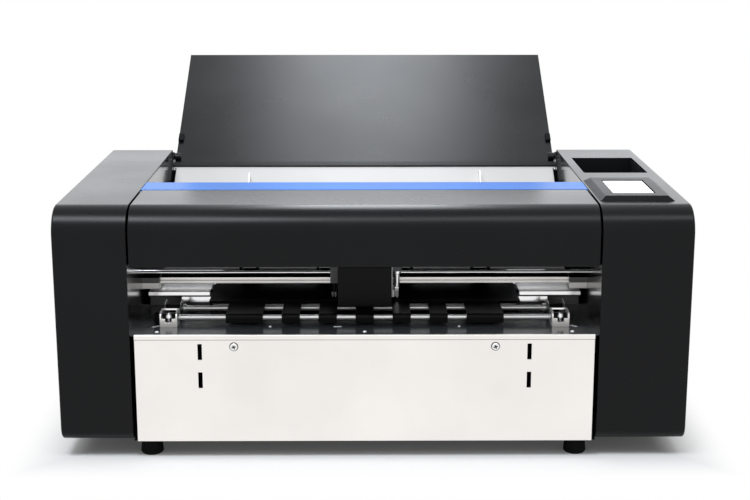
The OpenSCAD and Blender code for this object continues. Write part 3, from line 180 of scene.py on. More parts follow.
def grain_coat(name, color, roughness, specular, grain, depth):
    """Powder coat or plastic: fine grain in the bump, and a slow drift of tone and gloss."""
    finish, tree, shader = start_finish(name, color, roughness, specular=specular)
    fine = noise(tree, (grain, grain, grain), FINE_DETAIL)
    slow = noise(tree, SLOW_DRIFT, SLOW_DETAIL)
    vary_color(tree, shader, spread(tree, slow, 0, 1), color, COAT_TONES)
    gloss = spread(tree, slow, roughness - GLOSS_DRIFT, roughness + GLOSS_DRIFT)
    tree.links.new(gloss, shader.inputs["Roughness"])
    raise_bump(tree, shader, fine, depth, COAT_RELIEF)
    return finish


# Each coat: colour, roughness, specular level, grains per metre, depth of the grain
COATS = {
    "black_coat": ((0.0046, 0.0049, 0.0055), 0.27, 0.155, 1500, 0.20),
    # The same coat with a higher specular level: a painted sheen for the hood's top.
    "top_coat_painted_sheen": ((0.0046, 0.0049, 0.0055), 0.27, 0.27, 1500, 0.20),
    "lid_coat": ((0.0080, 0.0084, 0.0092), 0.285, 0.19, 1500, 0.35),
    "deck_black": ((0.030, 0.032, 0.036), 0.21, 0.60, 1500, 0.05),
    "platen_black": ((0.0035, 0.0036, 0.0042), 0.34, 0.12, 1500, 0.15),
    # A black that mirrors nothing: painted shade in gaps and on dark faces, and the chute rails' own
    # black.
    "matt_black_and_painted_shade": ((0.0020, 0.0020, 0.0022), 0.60, 0.0, 1500, 0.05),
    "bezel_black": ((0.0100, 0.0105, 0.0115), 0.34, 0.07, 1500, 0.20),
    "blue_paint": ((0.040, 0.190, 0.640), 0.34, 0.08, 1500, 0.12),
    "dark_plastic": ((0.0065, 0.0068, 0.0078), 0.45, 0.16, 900, 0.35),
    "grey_plastic": ((0.19, 0.19, 0.19), 0.42, 0.40, 900, 0.35),
    "white_plastic": ((0.80, 0.80, 0.78), 0.40, 0.45, 900, 0.35),
    "strip_plastic": ((0.020, 0.020, 0.022), 0.38, 0.40, 900, 0.35),
    "rubber": ((0.0050, 0.0052, 0.0056), 0.72, 0.07, 700, 0.60),
    "board_green": ((0.018, 0.110, 0.050), 0.40, 0.45, 1500, 0.35),
}
finishes = {name: grain_coat(name, *look) for name, look in COATS.items()}
print("coats:", ", ".join(COATS))

# %% [markdown]
# ## Metals
# Bare sheets are brushed along their length, and turned steel is polished. A plain metal shader would
# look like foil, so a noise that is stretched along X sways the roughness and the bump: the lines
# of the brush. The chute and the zinc-coated pieces are duller, and are only partly metal.

# %% Metals
ALONG_X = (6, 1800, 1800)
ALL_WAYS = (420, 420, 420)
METAL_TONES = (0.955, 1.02)
CLOUDS = (11, 11, 11)
METAL_RELIEF = 0.04 * MM


def drawn_metal(name, color, roughness, stretch, sway, relief, metallic):
    """Bare metal with fine lines: stretch is low along the lines and high across them."""
    finish, tree, shader = start_finish(name, color, roughness, metallic=metallic)
    lines = noise(tree, stretch, FINE_DETAIL)
    cloud = noise(tree, CLOUDS, SLOW_DETAIL)
    vary_color(tree, shader, spread(tree, cloud, 0, 1), color, METAL_TONES)
    gloss = spread(tree, lines, roughness - sway, roughness + sway)
    tree.links.new(gloss, shader.inputs["Roughness"])
    raise_bump(tree, shader, lines, relief, METAL_RELIEF)
    return finish


# Each metal: colour, roughness, lines, sway of the roughness, relief, share of metal
METALS = {
    "stainless": ((0.925, 0.893, 0.862), 0.34, ALONG_X, 0.06, 0.12, 1.0),
    "chute_steel": ((0.59, 0.575, 0.56), 0.40, ALONG_X, 0.02, 0.03, 0.1),
    "shelf_steel": ((0.82, 0.805, 0.79), 0.42, ALONG_X, 0.06, 0.12, 1.0),
    "sheet_steel": ((0.78, 0.77, 0.755), 0.38, ALL_WAYS, 0.06, 0.12, 1.0),
    "wall_steel": ((0.61, 0.605, 0.60), 0.18, ALL_WAYS, 0.02, 0.01, 1.0),
    "bright_steel": ((0.88, 0.88, 0.89), 0.13, ALONG_X, 0.03, 0.04, 1.0),
    "ground_steel": ((0.95, 0.95, 0.95), 0.30, ALONG_X, 0.02, 0.03, 1.0),
    "shaft_steel": ((0.97, 0.97, 0.97), 0.36, ALONG_X, 0.02, 0.03, 0.75),
    "zinc_steel": ((0.94, 0.94, 0.94), 0.40, ALL_WAYS, 0.02, 0.01, 0.1),
    # Dark zinc: the rear screws' own tone, and painted shade on pieces deep in the bay.
    "dark_zinc_and_painted_shade": ((0.13, 0.13, 0.135), 0.42, ALL_WAYS, 0.02, 0.01, 1.0),
    "aluminium": ((0.98, 0.955, 0.92), 0.32, ALONG_X, 0.06, 0.12, 1.0),
}
finishes.update({name: drawn_metal(name, *look) for name, look in METALS.items()})
print("metals:", ", ".join(METALS))

# %% [markdown]
# Two sheets need one more setting. Brushing draws the front plate's highlights out sideways, which is
# Anisotropic. Seen edge-on, the polished inner walls would mirror nearly everything, so a grey Specular
# Tint keeps them dim.

# %% Brushed plate and mirror walls
BRUSHED = 0.35
WALL_EDGE = (0.78, 0.775, 0.77, 1)
for name, extra in (("stainless", {"Anisotropic": BRUSHED}), ("wall_steel", {"Specular Tint": WALL_EDGE})):
    set_inputs(finishes[name].node_tree.nodes["Principled BSDF"], extra)
print("brushed:", BRUSHED, "edge of the walls:", WALL_EDGE[0])

# %% [markdown]
# The touch screen is lit. A lamp behind it would have to shine through the glass, so the glass itself
# sends out a little light, evenly white, and has the gloss of a cover glass over it.

# %% Lit screen
SCREEN_GLOW = 0.85
SCREEN_HAZE = (60, 60, 60)
SCREEN_GLOSS = (0.09, 0.16)
screen_finish, screen_tree, screen_shader = start_finish("lit_screen", (0.82, 0.83, 0.84), 0.12)
set_inputs(screen_shader, {"Emission Color": (1, 1, 1, 1), "Emission Strength": SCREEN_GLOW})
haze = noise(screen_tree, SCREEN_HAZE, FINE_DETAIL)
screen_tree.links.new(spread(screen_tree, haze, *SCREEN_GLOSS), screen_shader.inputs["Roughness"])
finishes["lit_screen"] = screen_finish
print("finishes in all:", len(finishes))

# %% [markdown]
# ## Piece helpers
# A finished mesh becomes an object that rides on a body of the frame, so that it moves with its
# joint. Flat faces stay flat in the shading and only true edges catch light: the mesh is marked
# sharp by angle, and weighted normals keep large faces even next to narrow bevels.

# %% Piece helpers
SHARP_ANGLE = math.radians(38)
node_body = {n: b for b, nodes in frame["record"]["behaviour"]["bodies"].items() for n in nodes}


def add_piece(name, bm, finish, body, replaced=()):
    """Turns a bmesh into a piece of the machine."""
    mesh = bpy.data.meshes.new(name)
    bm.to_mesh(mesh)
    bm.free()
    mesh.materials.append(finishes[finish])
    mesh.polygons.foreach_set("use_smooth", [True] * len(mesh.polygons))
    mesh.set_sharp_from_angle(angle=SHARP_ANGLE)
    piece = bpy.data.objects.new(name, mesh)
    scene.collection.objects.link(piece)
    even = piece.modifiers.new("even_normals", "WEIGHTED_NORMAL")
    even.keep_sharp = True
    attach(piece, body)
    if replaced:
        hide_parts(*replaced)
    return piece


def ease_edges(bm, edges, width, segments=2):
    """Rounds edges by a bevel."""
    bmesh.ops.bevel(bm, geom=list(edges), offset=width, offset_type="OFFSET", segments=segments,
                    profile=0.5, affect="EDGES", clamp_overlap=True, material=-1)


# %% [markdown]
# ## Eased copies of the frame's pieces
# The frame's own solids are exact, and so their edges are perfectly sharp. On a real machine every
# edge is broken by deburring, bending or moulding, and catches a thin line of light. A Bevel modifier
# on the loose triangles would round their diagonals too. So a copy of a node is merged into one
# mesh first, its flat faces are joined, and only its true edges get a small bevel.

# %% Helper for eased copies
TINY = 1e-6
FLAT_ANGLE = math.radians(0.5)
EDGE_ANGLE = math.radians(30)


def ease_node(node, finish, width):
    """A copy of a node with broken edges, standing in for it."""
    bm = bmesh.new()
    bm.from_mesh(frame["nodes"][node].data)
    bmesh.ops.remove_doubles(bm, verts=bm.verts, dist=TINY)
    bmesh.ops.dissolve_limit(bm, angle_limit=FLAT_ANGLE, verts=bm.verts, edges=bm.edges)
    true_edges = [e for e in bm.edges if len(e.link_faces) == 2 and e.calc_face_angle() > EDGE_ANGLE]
    ease_edges(bm, true_edges, width)
    return add_piece("eased_" + node, bm, finish, node_body[node], [node])


print("edges are eased above", round(math.degrees(EDGE_ANGLE)), "degrees")

# %% [markdown]
# The table names each copy's finish and how far its edges are broken, in millimetres: a fold or a
# punched sheet hardly at all, a moulding or a rubber foot more.

# %% Eased copies
EASED = {
    "front_plate": ("stainless", 0.3), "deck_plate": ("deck_black", 0.25),
    "trim_strip": ("blue_paint", 0.4), "platen": ("platen_black", 0.2),
    "side_shelves": ("shelf_steel", 0.2), "feed_chute": ("chute_steel", 0.2),
    "hinge_strip": ("lid_coat", 0.2), "lid_brackets": ("platen_black", 0.25),
    "carriage_rail": ("aluminium", 0.25), "rail_blocks": ("grey_plastic", 0.5),
    "exit_brackets": ("zinc_steel", 0.25), "control_bezel": ("bezel_black", 0.6),
    "touch_screen": ("lit_screen", 0.3), "pocket_tray": ("dark_plastic", 0.5),
    "power_inlet": ("dark_plastic", 0.4), "power_rocker": ("dark_plastic", 0.3),
    "lid": ("lid_coat", 0.35), "lid_bumpers": ("rubber", 0.7),
    "carriage_body": ("grey_plastic", 0.4), "carriage_cover": ("platen_black", 0.25),
    "blade_holder": ("bright_steel", 0.4), "crease_tool": ("dark_plastic", 0.2),
    "feet": ("rubber", 0.8), "rear_panel": ("black_coat", 0.4),
    "base_pan": ("black_coat", 0.3), "left_guide": ("shelf_steel", 0.15),
    "right_guide": ("shelf_steel", 0.15), "exit_shaft": ("shaft_steel", 0.3),
    "rear_exit_shaft": ("shaft_steel", 0.3), "feed_gate": ("dark_plastic", 0.3),
    "shaft_bushes": ("dark_plastic", 0.25), "cross_beam": ("sheet_steel", 0.3),
    "left_side_plate": ("wall_steel", 0.3), "right_side_plate": ("wall_steel", 0.3),
    "power_supply": ("sheet_steel", 0.8), "carriage_motor": ("dark_plastic", 0.6),
    "feed_motor": ("dark_plastic", 0.6), "pick_rollers": ("rubber", 0.6),
    "pinch_rollers": ("rubber", 0.5), "drive_roller": ("bright_steel", 0.4),
}
for node, (finish, width) in EASED.items():
    ease_node(node, finish, width * MM)
print("eased copies:", len(EASED))

# %% [markdown]
# The pieces that sit deep inside would gain nothing from eased edges. They keep their own meshes and
# only take a finish.

# %% Finishes of the inner pieces
INNER = {
    "bright_steel": ["guide_rod", "pinch_shaft", "blade", "pick_shaft"],
    "aluminium": ["belt_drive_pulley", "belt_idler_pulley", "exit_motor_pulley"],
    "rubber": ["carriage_belt", "pick_belt", "exit_belt"],
    "sheet_steel": ["exit_motor"], "board_green": ["main_board"], "strip_plastic": ["cutting_strip"],
    "platen_black": ["hinge_pins"], "dark_plastic": ["pinch_arms"], "white_plastic": ["guide_pinion"],
}
for finish, nodes in INNER.items():
    for node in nodes:
        slots = frame["nodes"][node].data.materials
        slots.clear()
        slots.append(finishes[finish])
print("inner pieces:", sum(map(len, INNER.values())))

# %% [markdown]
# ## Covers
# Each end of the machine has a folded shell, open towards the middle. It could be cut from a block,
# but its side outline is one rectangle with different radii at its corners. So it starts as a single
# face whose corners are rounded one by one. The face is extruded to the cover's width, its outer rim
# is rounded, the inner face is taken away, and a Solidify modifier gives the sheet its thickness.


# %% Shell from a side outline
def push(bm, made, way):
    """Moves the vertices that an extrusion has made."""
    verts = [v for v in made["geom"] if isinstance(v, bmesh.types.BMVert)]
    bmesh.ops.translate(bm, verts=verts, vec=way)


def outline_prism(x_start, x_end, low, high, radii, segments=14):
    """A closed prism along X. The radii are front low, rear low, rear top and front top."""
    bm = bmesh.new()
    places = [(low.y, low.z), (high.y, low.z), (high.y, high.z), (low.y, high.z)]
    corners = [bm.verts.new((x_start, y, z)) for y, z in places]
    bm.faces.new(corners)
    for corner, radius in zip(corners, radii):
        if radius:
            bmesh.ops.bevel(bm, geom=[corner], offset=radius, offset_type="OFFSET", segments=segments,
                            profile=0.5, affect="VERTICES", material=-1)
    bm.faces.ensure_lookup_table()
    made = bmesh.ops.extrude_face_region(bm, geom=[bm.faces[0]])
    push(bm, made, (x_end - x_start, 0, 0))
    bmesh.ops.recalc_face_normals(bm, faces=bm.faces)
    return bm


def rim_edges(bm, x):
    """The edges that lie at one end of a prism."""
    return [e for e in bm.edges if all(abs(v.co.x - x) < TINY for v in e.verts)]


def remove_faces(bm, test):
    """Takes away the faces that pass a test."""
    bmesh.ops.delete(bm, geom=[f for f in bm.faces if test(f)], context="FACES")


print("shell helpers ready")

# %% [markdown]
# The wall grows inwards, so that the outside keeps its size. A Bevel modifier after it breaks the cut
# edges of the sheet, and the weighted normals move to the end of the stack to see the final faces.

# %% Wall of a shell
SHEET = 2 * MM
SHEET_EDGE = 0.35 * MM
SHEET_ANGLE = math.radians(60)


def thicken(piece):
    """Gives a shell its wall, inwards, and breaks its edges."""
    solid = piece.modifiers.new("wall", "SOLIDIFY")
    solid.thickness = SHEET
    solid.offset = -1
    solid.use_even_offset = True
    eased = piece.modifiers.new("broken_edges", "BEVEL")
    eased.width = SHEET_EDGE
    eased.segments = 2
    eased.limit_method = "ANGLE"
    eased.angle_limit = SHEET_ANGLE
    piece.modifiers.move(piece.modifiers.find("even_normals"), len(piece.modifiers) - 1)


print("sheet thickness", SHEET / MM, "mm")

# %% [markdown]
# The right cover has an opening for the tool pocket. A Boolean would do it too, but four cuts across
# the top face leave clean edges: they mark the opening out, and the face between them is removed
# before the sheet gets its thickness.

# %% Opening in a cover
LEVEL = 0.99


def cut_opening(bm, low, high, top_z):
    """Removes a rectangle from the top face."""
    for normal, point in zip(((1, 0, 0), (1, 0, 0), (0, 1, 0), (0, 1, 0)), (low, high, low, high)):
        top = [f for f in bm.faces if f.normal.z > LEVEL and f.calc_center_median().z > top_z - MM]
        geom = set(top) | {e for f in top for e in f.edges} | {v for f in top for v in f.verts}
        bmesh.ops.bisect_plane(bm, geom=list(geom), plane_co=point, plane_no=normal)

    def inside(face):
        middle = face.calc_center_median()
        return face.normal.z > LEVEL and low.x < middle.x < high.x and low.y < middle.y < high.y

    remove_faces(bm, inside)


print("a level face looks up by more than", LEVEL)

# %% [markdown]
# The two covers only differ in the end that is open and in the pocket, so one function makes both.

# %% Left and right covers
FRONT_TOP_R, FRONT_LOW_R, REAR_R = 30 * MM, 16 * MM, 5 * MM
COVER_RADII = (FRONT_LOW_R, REAR_R, REAR_R, FRONT_TOP_R)
COVER_RIM_R = 2.2 * MM


def make_cover(node, outer_first):
    """A folded end cover, open on the side of the bay."""
    low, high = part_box(node)
    outer, inner = (low.x, high.x) if outer_first else (high.x, low.x)
    bm = outline_prism(outer, inner, low, high, COVER_RADII)
    ease_edges(bm, rim_edges(bm, outer), COVER_RIM_R, 4)
    remove_faces(bm, lambda f: all(abs(v.co.x - inner) < TINY for v in f.verts))
    if node == "right_cover":
        cut_opening(bm, *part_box("pocket_tray"), high.z)
    cover = add_piece("folded_" + node, bm, "black_coat", "chassis", [node])
    thicken(cover)
    return cover


for node in ("left_cover", "right_cover"):
    cover = make_cover(node, node == "left_cover")
    print(cover.name, len(cover.data.polygons), "faces before its wall")

# %% [markdown]
# ## Hood
# The hood is the same kind of shell, turned round: open below and behind, closed at its two ends by
# cheeks whose lower rear corner is cut back in a large radius so that it can tip up. The top sheet
# reaches a little further back than the cheeks, so its rear edge is extruded after they are made.

# %% Hood
CHEEK_D = 98 * MM
HOOD_D = 108 * MM
CHEEK_R = 40 * MM
HOOD_RIM_R = 1.2 * MM
SKEW, REARWARD = 0.02, 0.9
hood_low, hood_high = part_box("hood")
cheek_high = Vector((hood_high.x, hood_low.y + CHEEK_D, hood_high.z))
hood_bm = outline_prism(hood_low.x, hood_high.x, hood_low, cheek_high, (0, CHEEK_R, 0, FRONT_TOP_R))
hood_rims = rim_edges(hood_bm, hood_low.x) + rim_edges(hood_bm, hood_high.x)
ease_edges(hood_bm, hood_rims, HOOD_RIM_R, 3)
remove_faces(hood_bm, lambda f: f.normal.z < -SKEW and abs(f.normal.x) < SKEW)
remove_faces(hood_bm, lambda f: f.normal.y > REARWARD)
rear_edges = [e for e in hood_bm.edges
              if all(v.co.y > cheek_high.y - TINY and v.co.z > hood_high.z - TINY for v in e.verts)]
rear_lip = bmesh.ops.extrude_edge_only(hood_bm, edges=rear_edges)
push(hood_bm, rear_lip, (0, HOOD_D - CHEEK_D, 0))
thicken(add_piece("folded_hood", hood_bm, "black_coat", "hood", ["hood"]))
print("hood", round((hood_high.x - hood_low.x) / MM, 1), "mm wide")

# %% [markdown]
# Inside each cheek an ear with a round end holds the hinge pin. It is cut from sheet, so the prism
# helper makes it too, with large radii at its rear corners only.

# %% Hinge ears of the hood
EAR_L, EAR_H, EAR_TOP = 18 * MM, 7.8 * MM, 2.1 * MM
EAR_R = EAR_H / 2.01
for side, x in (("left", hood_low.x), ("right", hood_high.x - SHEET)):
    ear_high = Vector((x, hood_high.y, hood_high.z - EAR_TOP))
    ear_low = ear_high - Vector((0, EAR_L, EAR_H))
    ear_bm = outline_prism(x, x + SHEET, ear_low, ear_high, (0, EAR_R, EAR_R, 0), 8)
    add_piece(side + "_hood_ear", ear_bm, "black_coat", "hood")
print("hood ears reach", round((hood_high.y - hood_low.y) / MM, 1), "mm back")

# %% [markdown]
# ## Screws
# Screw heads are turned forms. Half of their outline is drawn as a line of points and spun round the
# axis, which gives fewer and better placed faces than a carved cylinder. Each is made in a bmesh of
# its own and then joined to its piece.

# %% Turned forms
TURN_STEPS = 24


def turned(half):
    """A turned form: a line of radius and height is spun round the Z axis."""
    part = bmesh.new()
    line = [part.verts.new((radius, 0, height)) for radius, height in half]
    edges = [part.edges.new(pair) for pair in zip(line, line[1:])]
    bmesh.ops.spin(part, geom=line + edges, axis=(0, 0, 1), cent=(0, 0, 0), angle=math.tau,
                   steps=TURN_STEPS, use_merge=True)
    bmesh.ops.remove_doubles(part, verts=part.verts, dist=TINY)
    return part


def join_bmesh(bm, part):
    """Adds one bmesh to another and frees it."""
    made = bpy.data.meshes.new("part")
    part.to_mesh(made)
    part.free()
    bm.from_mesh(made)
    bpy.data.meshes.remove(made)


print("turned forms have", TURN_STEPS, "sides")

# %% [markdown]
# The pan-head screws have a cross recess, and a painted cross would look flat. The top of the spun head
# is left open, a cross-shaped loop is bridged to it, and that loop is pushed down.

# %% Pan-head screw
HEAD_R, HEAD_H = 4.2 * MM, 2.4 * MM
SHANK_R = 2.0 * MM
RECESS_REACH, RECESS_HALF, RECESS_DEEP = 2.3 * MM, 0.55 * MM, 1.5 * MM
HEAD_SHAPE = ((1, 0), (1, 0.35), (0.93, 0.68), (0.80, 0.9), (0.64, 1))


def pan_screw(bm, seat, turn, shank):
    """Adds a screw: its seat is where the head rests, and its head points along the turned Z."""
    head = [(across * HEAD_R, up * HEAD_H) for across, up in HEAD_SHAPE]
    part = turned([(0, -shank), (SHANK_R, -shank), (SHANK_R, 0), *head])
    rim = [e for e in part.edges if len(e.link_faces) == 1]
    a, b = RECESS_HALF, RECESS_REACH
    quarter = [(b, a), (a, a), (a, b)]
    cross = quarter + [(-y, x) for x, y in quarter]
    cross += [(-x, -y) for x, y in cross]
    points = [part.verts.new((x, y, HEAD_H)) for x, y in cross]
    loop = [part.edges.new(pair) for pair in zip(points, points[1:] + points[:1])]
    bmesh.ops.bridge_loops(part, edges=rim + loop)
    recess = bmesh.ops.extrude_edge_only(part, edges=loop)
    push(part, recess, (0, 0, -RECESS_DEEP))
    bmesh.ops.edgeloop_fill(part, edges=[e for e in recess["geom"] if isinstance(e, bmesh.types.BMEdge)])
    bmesh.ops.recalc_face_normals(part, faces=part.faces)
    bmesh.ops.transform(part, matrix=Matrix.Translation(seat) @ turn, verts=part.verts)
    join_bmesh(bm, part)


print("screw heads", round(2 * HEAD_R / MM, 1), "mm across")

# %% [markdown]
# The frame holds all its screws in one node. Walking from vertex to vertex finds its separate solids,
# and their boxes say where each screw sits: in the front plate, or upright in a foot.

# %% Screws of the frame
FACING_FRONT = Matrix.Rotation(math.radians(90), 4, "X") @ Matrix.Rotation(math.radians(20), 4, "Z")
FACING_DOWN = Matrix.Rotation(math.radians(180), 4, "X")


def island_boxes(node):
    """The boxes of a node's separate solids."""
    bm = bmesh.new()
    bm.from_mesh(frame["nodes"][node].data)
    bmesh.ops.remove_doubles(bm, verts=bm.verts, dist=TINY)
    left = set(bm.verts)
    boxes = []
    while left:
        reached = [left.pop()]
        for vert in reached:
            near = {e.other_vert(vert) for e in vert.link_edges} & left
            left -= near
            reached.extend(near)
        places = [v.co for v in reached]
        boxes.append((Vector(map(min, *places)), Vector(map(max, *places))))
    bm.free()
    return boxes


def stands_up(low, high):
    """True for a screw whose box is no deeper than its head is wide."""
    return high.y - low.y < 2.2 * HEAD_R


screw_boxes = island_boxes("screws")
screw_bm = bmesh.new()
for low, high in screw_boxes:
    middle = (low + high) / 2
    if stands_up(low, high):
        seat = Vector((middle.x, middle.y, low.z + HEAD_H))
        pan_screw(screw_bm, seat, FACING_DOWN, high.z - low.z - HEAD_H)
    else:
        seat = Vector((middle.x, low.y + HEAD_H, middle.z))
        pan_screw(screw_bm, seat, FACING_FRONT, high.y - low.y - HEAD_H)
add_piece("cross_screws", screw_bm, "bright_steel", "chassis", ["screws"])
print("screws:", len(screw_boxes))

# %% [markdown]
# ## Deck fasteners
# The deck's holes aren't empty: low screw heads close the row near the front, two pegs stand in the
# round holes behind it, and bright tongues of the frame below show through the slots. At this size a
# recess wouldn't show, so they are blunt cones and thin plates, a little proud of the deck's face.

# %% Deck fasteners
BAY_X = -9.5 * MM
HEADS = [(-226, 15, 2.5), (0, 15, 2.5), (226, 15, 2.5), (-104, 35, 1.9), (104, 35, 1.9)]
HEAD_LIFT, HEAD_DEPTH, HEAD_TAPER = 0.3 * MM, 1.2 * MM, 0.6
TONGUES = [(-30, 34.5, 0), (-230, 36, 40), (230, 36, -40)]
TONGUE_SIZE = Matrix.Diagonal((8.8 * MM, 2.8 * MM, 0.6 * MM, 1))
deck_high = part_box("deck_plate")[1]


def add_pin(bm, place, radius, end_radius, depth, segments=20):
    """Adds a short pin with flat ends, straight or tapered."""
    bmesh.ops.create_cone(bm, segments=segments, radius1=radius, radius2=end_radius, depth=depth,
                          cap_ends=True, matrix=place)


def on_deck(x, y, lift):
    """A place on the deck: x from the middle of the bay and y from the front, in mm."""
    return Matrix.Translation((BAY_X + x * MM, cad_low.y + y * MM, deck_high.z + lift))


deck_bm = bmesh.new()
for x, y, radius in HEADS:
    add_pin(deck_bm, on_deck(x, y, HEAD_LIFT), radius * MM, HEAD_TAPER * radius * MM, HEAD_DEPTH, 24)
for x, y, turn in TONGUES:
    place = on_deck(x, y, 0) @ Matrix.Rotation(math.radians(turn), 4, "Z")
    bmesh.ops.create_cube(deck_bm, size=1, matrix=place @ TONGUE_SIZE)
add_piece("deck_fasteners", deck_bm, "zinc_steel", "chassis")
print("deck fasteners:", len(HEADS) + len(TONGUES))

# %% [markdown]
# ## Second finishes
# Some pieces show two finishes. The front pair of shaft brackets is bright, with polished faces, and
# the rear pair, deeper in the bay, is painted dark: painted shade. The forward faces of the side shelves
# take the brighter stainless, a painted highlight on their folded front edges, and their deeper front
# faces the dark zinc, painted shade again. The pulley end of the exit shaft is plastic, and the hood's
# top has a higher specular level than its front, a painted sheen that makes the top read brighter.
# Splitting the pieces would open seams, so a second material on the same mesh is given
# to the faces that a test picks.

# %% Second finishes
SHELF_LEG = 8 * MM
PULLEY_GAP = 0.5 * MM
LEANING, FACING, SQUARE = 0.3, 0.7, 0.9


def second_finish(piece_name, finish, test):
    """Gives some faces of a piece another finish."""
    mesh = bpy.data.objects[piece_name].data
    mesh.materials.append(finishes[finish])
    picked = [p for p in mesh.polygons if test(p)]
    for polygon in picked:
        polygon.material_index = len(mesh.materials) - 1
    print(piece_name, "faces in", finish + ":", len(picked))


bracket_low, bracket_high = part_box("exit_brackets")
bracket_middle = (bracket_low.y + bracket_high.y) / 2
shelf_low, shelf_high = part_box("side_shelves")
# The rear brackets' dark zinc is painted shade.
second_finish("eased_exit_brackets", "dark_zinc_and_painted_shade",
              lambda p: p.center.y > bracket_middle and p.normal.z < FACING)
second_finish("eased_exit_brackets", "stainless",
              lambda p: p.center.y < bracket_middle and p.normal.y < -FACING)
second_finish("eased_exit_shaft", "dark_plastic", lambda p: p.center.x < bracket_low.x - PULLEY_GAP)
# Shelves: brighter stainless on forward faces is a painted highlight; dark zinc on deeper front faces is
# painted shade.
second_finish("eased_side_shelves", "stainless", lambda p: p.normal.y < -LEANING)
second_finish("eased_side_shelves", "dark_zinc_and_painted_shade",
              lambda p: p.normal.y < -SQUARE and p.center.y > shelf_low.y + SHELF_LEG)
# The hood's upward faces get the higher specular level: a painted sheen.
second_finish("folded_hood", "top_coat_painted_sheen", lambda p: p.normal.z > LEVEL)

# %% [markdown]
# Narrow gaps in a black machine look black, because no light comes back out of them. The rims of the
# side plates, and the part of them behind the hood's cheeks, are therefore painted a deep black:
# painted shade. The plates are first cut along the cheek's edges, so that the black ends in a straight
# line.

# %% Painted shade behind the hood
SIDEWAYS = 0.5


def cut_piece(piece_name, point, normal):
    """Cuts the faces of a piece along a plane, without taking anything away."""
    mesh = bpy.data.objects[piece_name].data
    bm = bmesh.new()
    bm.from_mesh(mesh)
    geom = list(bm.verts) + list(bm.edges) + list(bm.faces)
    bmesh.ops.bisect_plane(bm, geom=geom, plane_co=point, plane_no=normal)
    bm.to_mesh(mesh)
    bm.free()


def behind_hood(polygon):
    """True for the rims of a side plate, and for the part of it that the hood's cheek hides."""
    hidden = polygon.center.y < cheek_high.y and polygon.center.z > hood_low.z
    return hidden or abs(polygon.normal.x) < SIDEWAYS


for plate_name in ("eased_left_side_plate", "eased_right_side_plate"):
    cut_piece(plate_name, cheek_high, (0, 1, 0))
    cut_piece(plate_name, hood_low, (0, 0, 1))
    # The rims, and the part behind the cheeks, take the dead black as painted shade.
    second_finish(plate_name, "matt_black_and_painted_shade", behind_hood)

# %% [markdown]
# The rail's end blocks are plastic, and their lower part takes a light steel finish, a painted reflection
# of the bright shelf beside them; one cut at that height parts the two finishes. The tops of the blocks
# and of the rail lie in the dark under the hood, and are painted black: painted shade.

# %% Rail and end blocks
PAINTED_REFLECTION_TOP = 172.7 * MM
cut_piece("eased_rail_blocks", (0, 0, PAINTED_REFLECTION_TOP), (0, 0, 1))
# Light steel below the cut: a painted reflection. Black tops below: painted shade.
second_finish("eased_rail_blocks", "sheet_steel", lambda p: p.center.z < PAINTED_REFLECTION_TOP)
for piece_name in ("eased_rail_blocks", "eased_carriage_rail"):
    second_finish(piece_name, "matt_black_and_painted_shade", lambda p: p.normal.z > FACING)

# %% [markdown]
# The walls of the recess round the screen, and the rim of the tool pocket, lie in shade too, and are
# painted the same black: painted shade.

# %% Recess and pocket
RECESS_NEAR = 2 * MM
UPRIGHT = 0.95
screen_low, screen_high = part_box("touch_screen")
pocket_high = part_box("pocket_tray")[1]


def beside_screen(polygon):
    """True for the upright walls of the recess that holds the screen."""
    x, y, _ = polygon.center
    near_x = screen_low.x - RECESS_NEAR < x < screen_high.x + RECESS_NEAR
    near_y = screen_low.y - RECESS_NEAR < y < screen_high.y + RECESS_NEAR
    return near_x and near_y and abs(polygon.normal.z) < UPRIGHT


second_finish("eased_control_bezel", "matt_black_and_painted_shade", beside_screen)
second_finish("eased_pocket_tray", "matt_black_and_painted_shade", lambda p: p.center.z > pocket_high.z - MM)

# %% [markdown]
# ## Small trim of the frame
# Thin dark lines of painted shade make a machine look assembled: one under the folded lip of the front
# plate, one at the top of the chute, and a ring under each screw head of the plate, where shadow falls.
# Lines drawn in a texture would blur in a close view, so they are low boxes and discs, half sunk into the
# sheet.

# %% Painted shade lines and screw rings
EDGE_BREAK = 0.2 * MM
LIP_H = 5.5 * MM
PLATE_T = 1.6 * MM
LIP_SHADE_LINE = ((-0.1, -0.7), (0.4, 0.1))
CHUTE_SHADE_LINE = ((-1.2, -0.6), (0.2, 1.9))
SHADE_LINE_BREAK = 0.1 * MM
SHADE_RING_R, SHADE_RING_T = 1.16 * HEAD_R, 0.3 * MM


def ease_box(bm, low, high, width=EDGE_BREAK, segments=2):
    """Adds a box with rounded edges between two corners."""
    size = Vector(high) - Vector(low)
    middle = (Vector(high) + Vector(low)) / 2
    matrix = Matrix.Translation(middle) @ Matrix.Diagonal((*size, 1))
    made = bmesh.ops.create_cube(bm, size=1, matrix=matrix)
    edges = {e for v in made["verts"] for e in v.link_edges}
    ease_edges(bm, edges, width, segments)


def box_along(bm, ends, y, z, reach, width=EDGE_BREAK, segments=2):
    """Adds a thin box along X: reach is how far it goes from a line at y and z, in mm."""
    (y_low, z_low), (y_high, z_high) = reach
    low = (ends[0], y + y_low * MM, z + z_low * MM)
    high = (ends[1], y + y_high * MM, z + z_high * MM)
    ease_box(bm, low, high, width, segments)


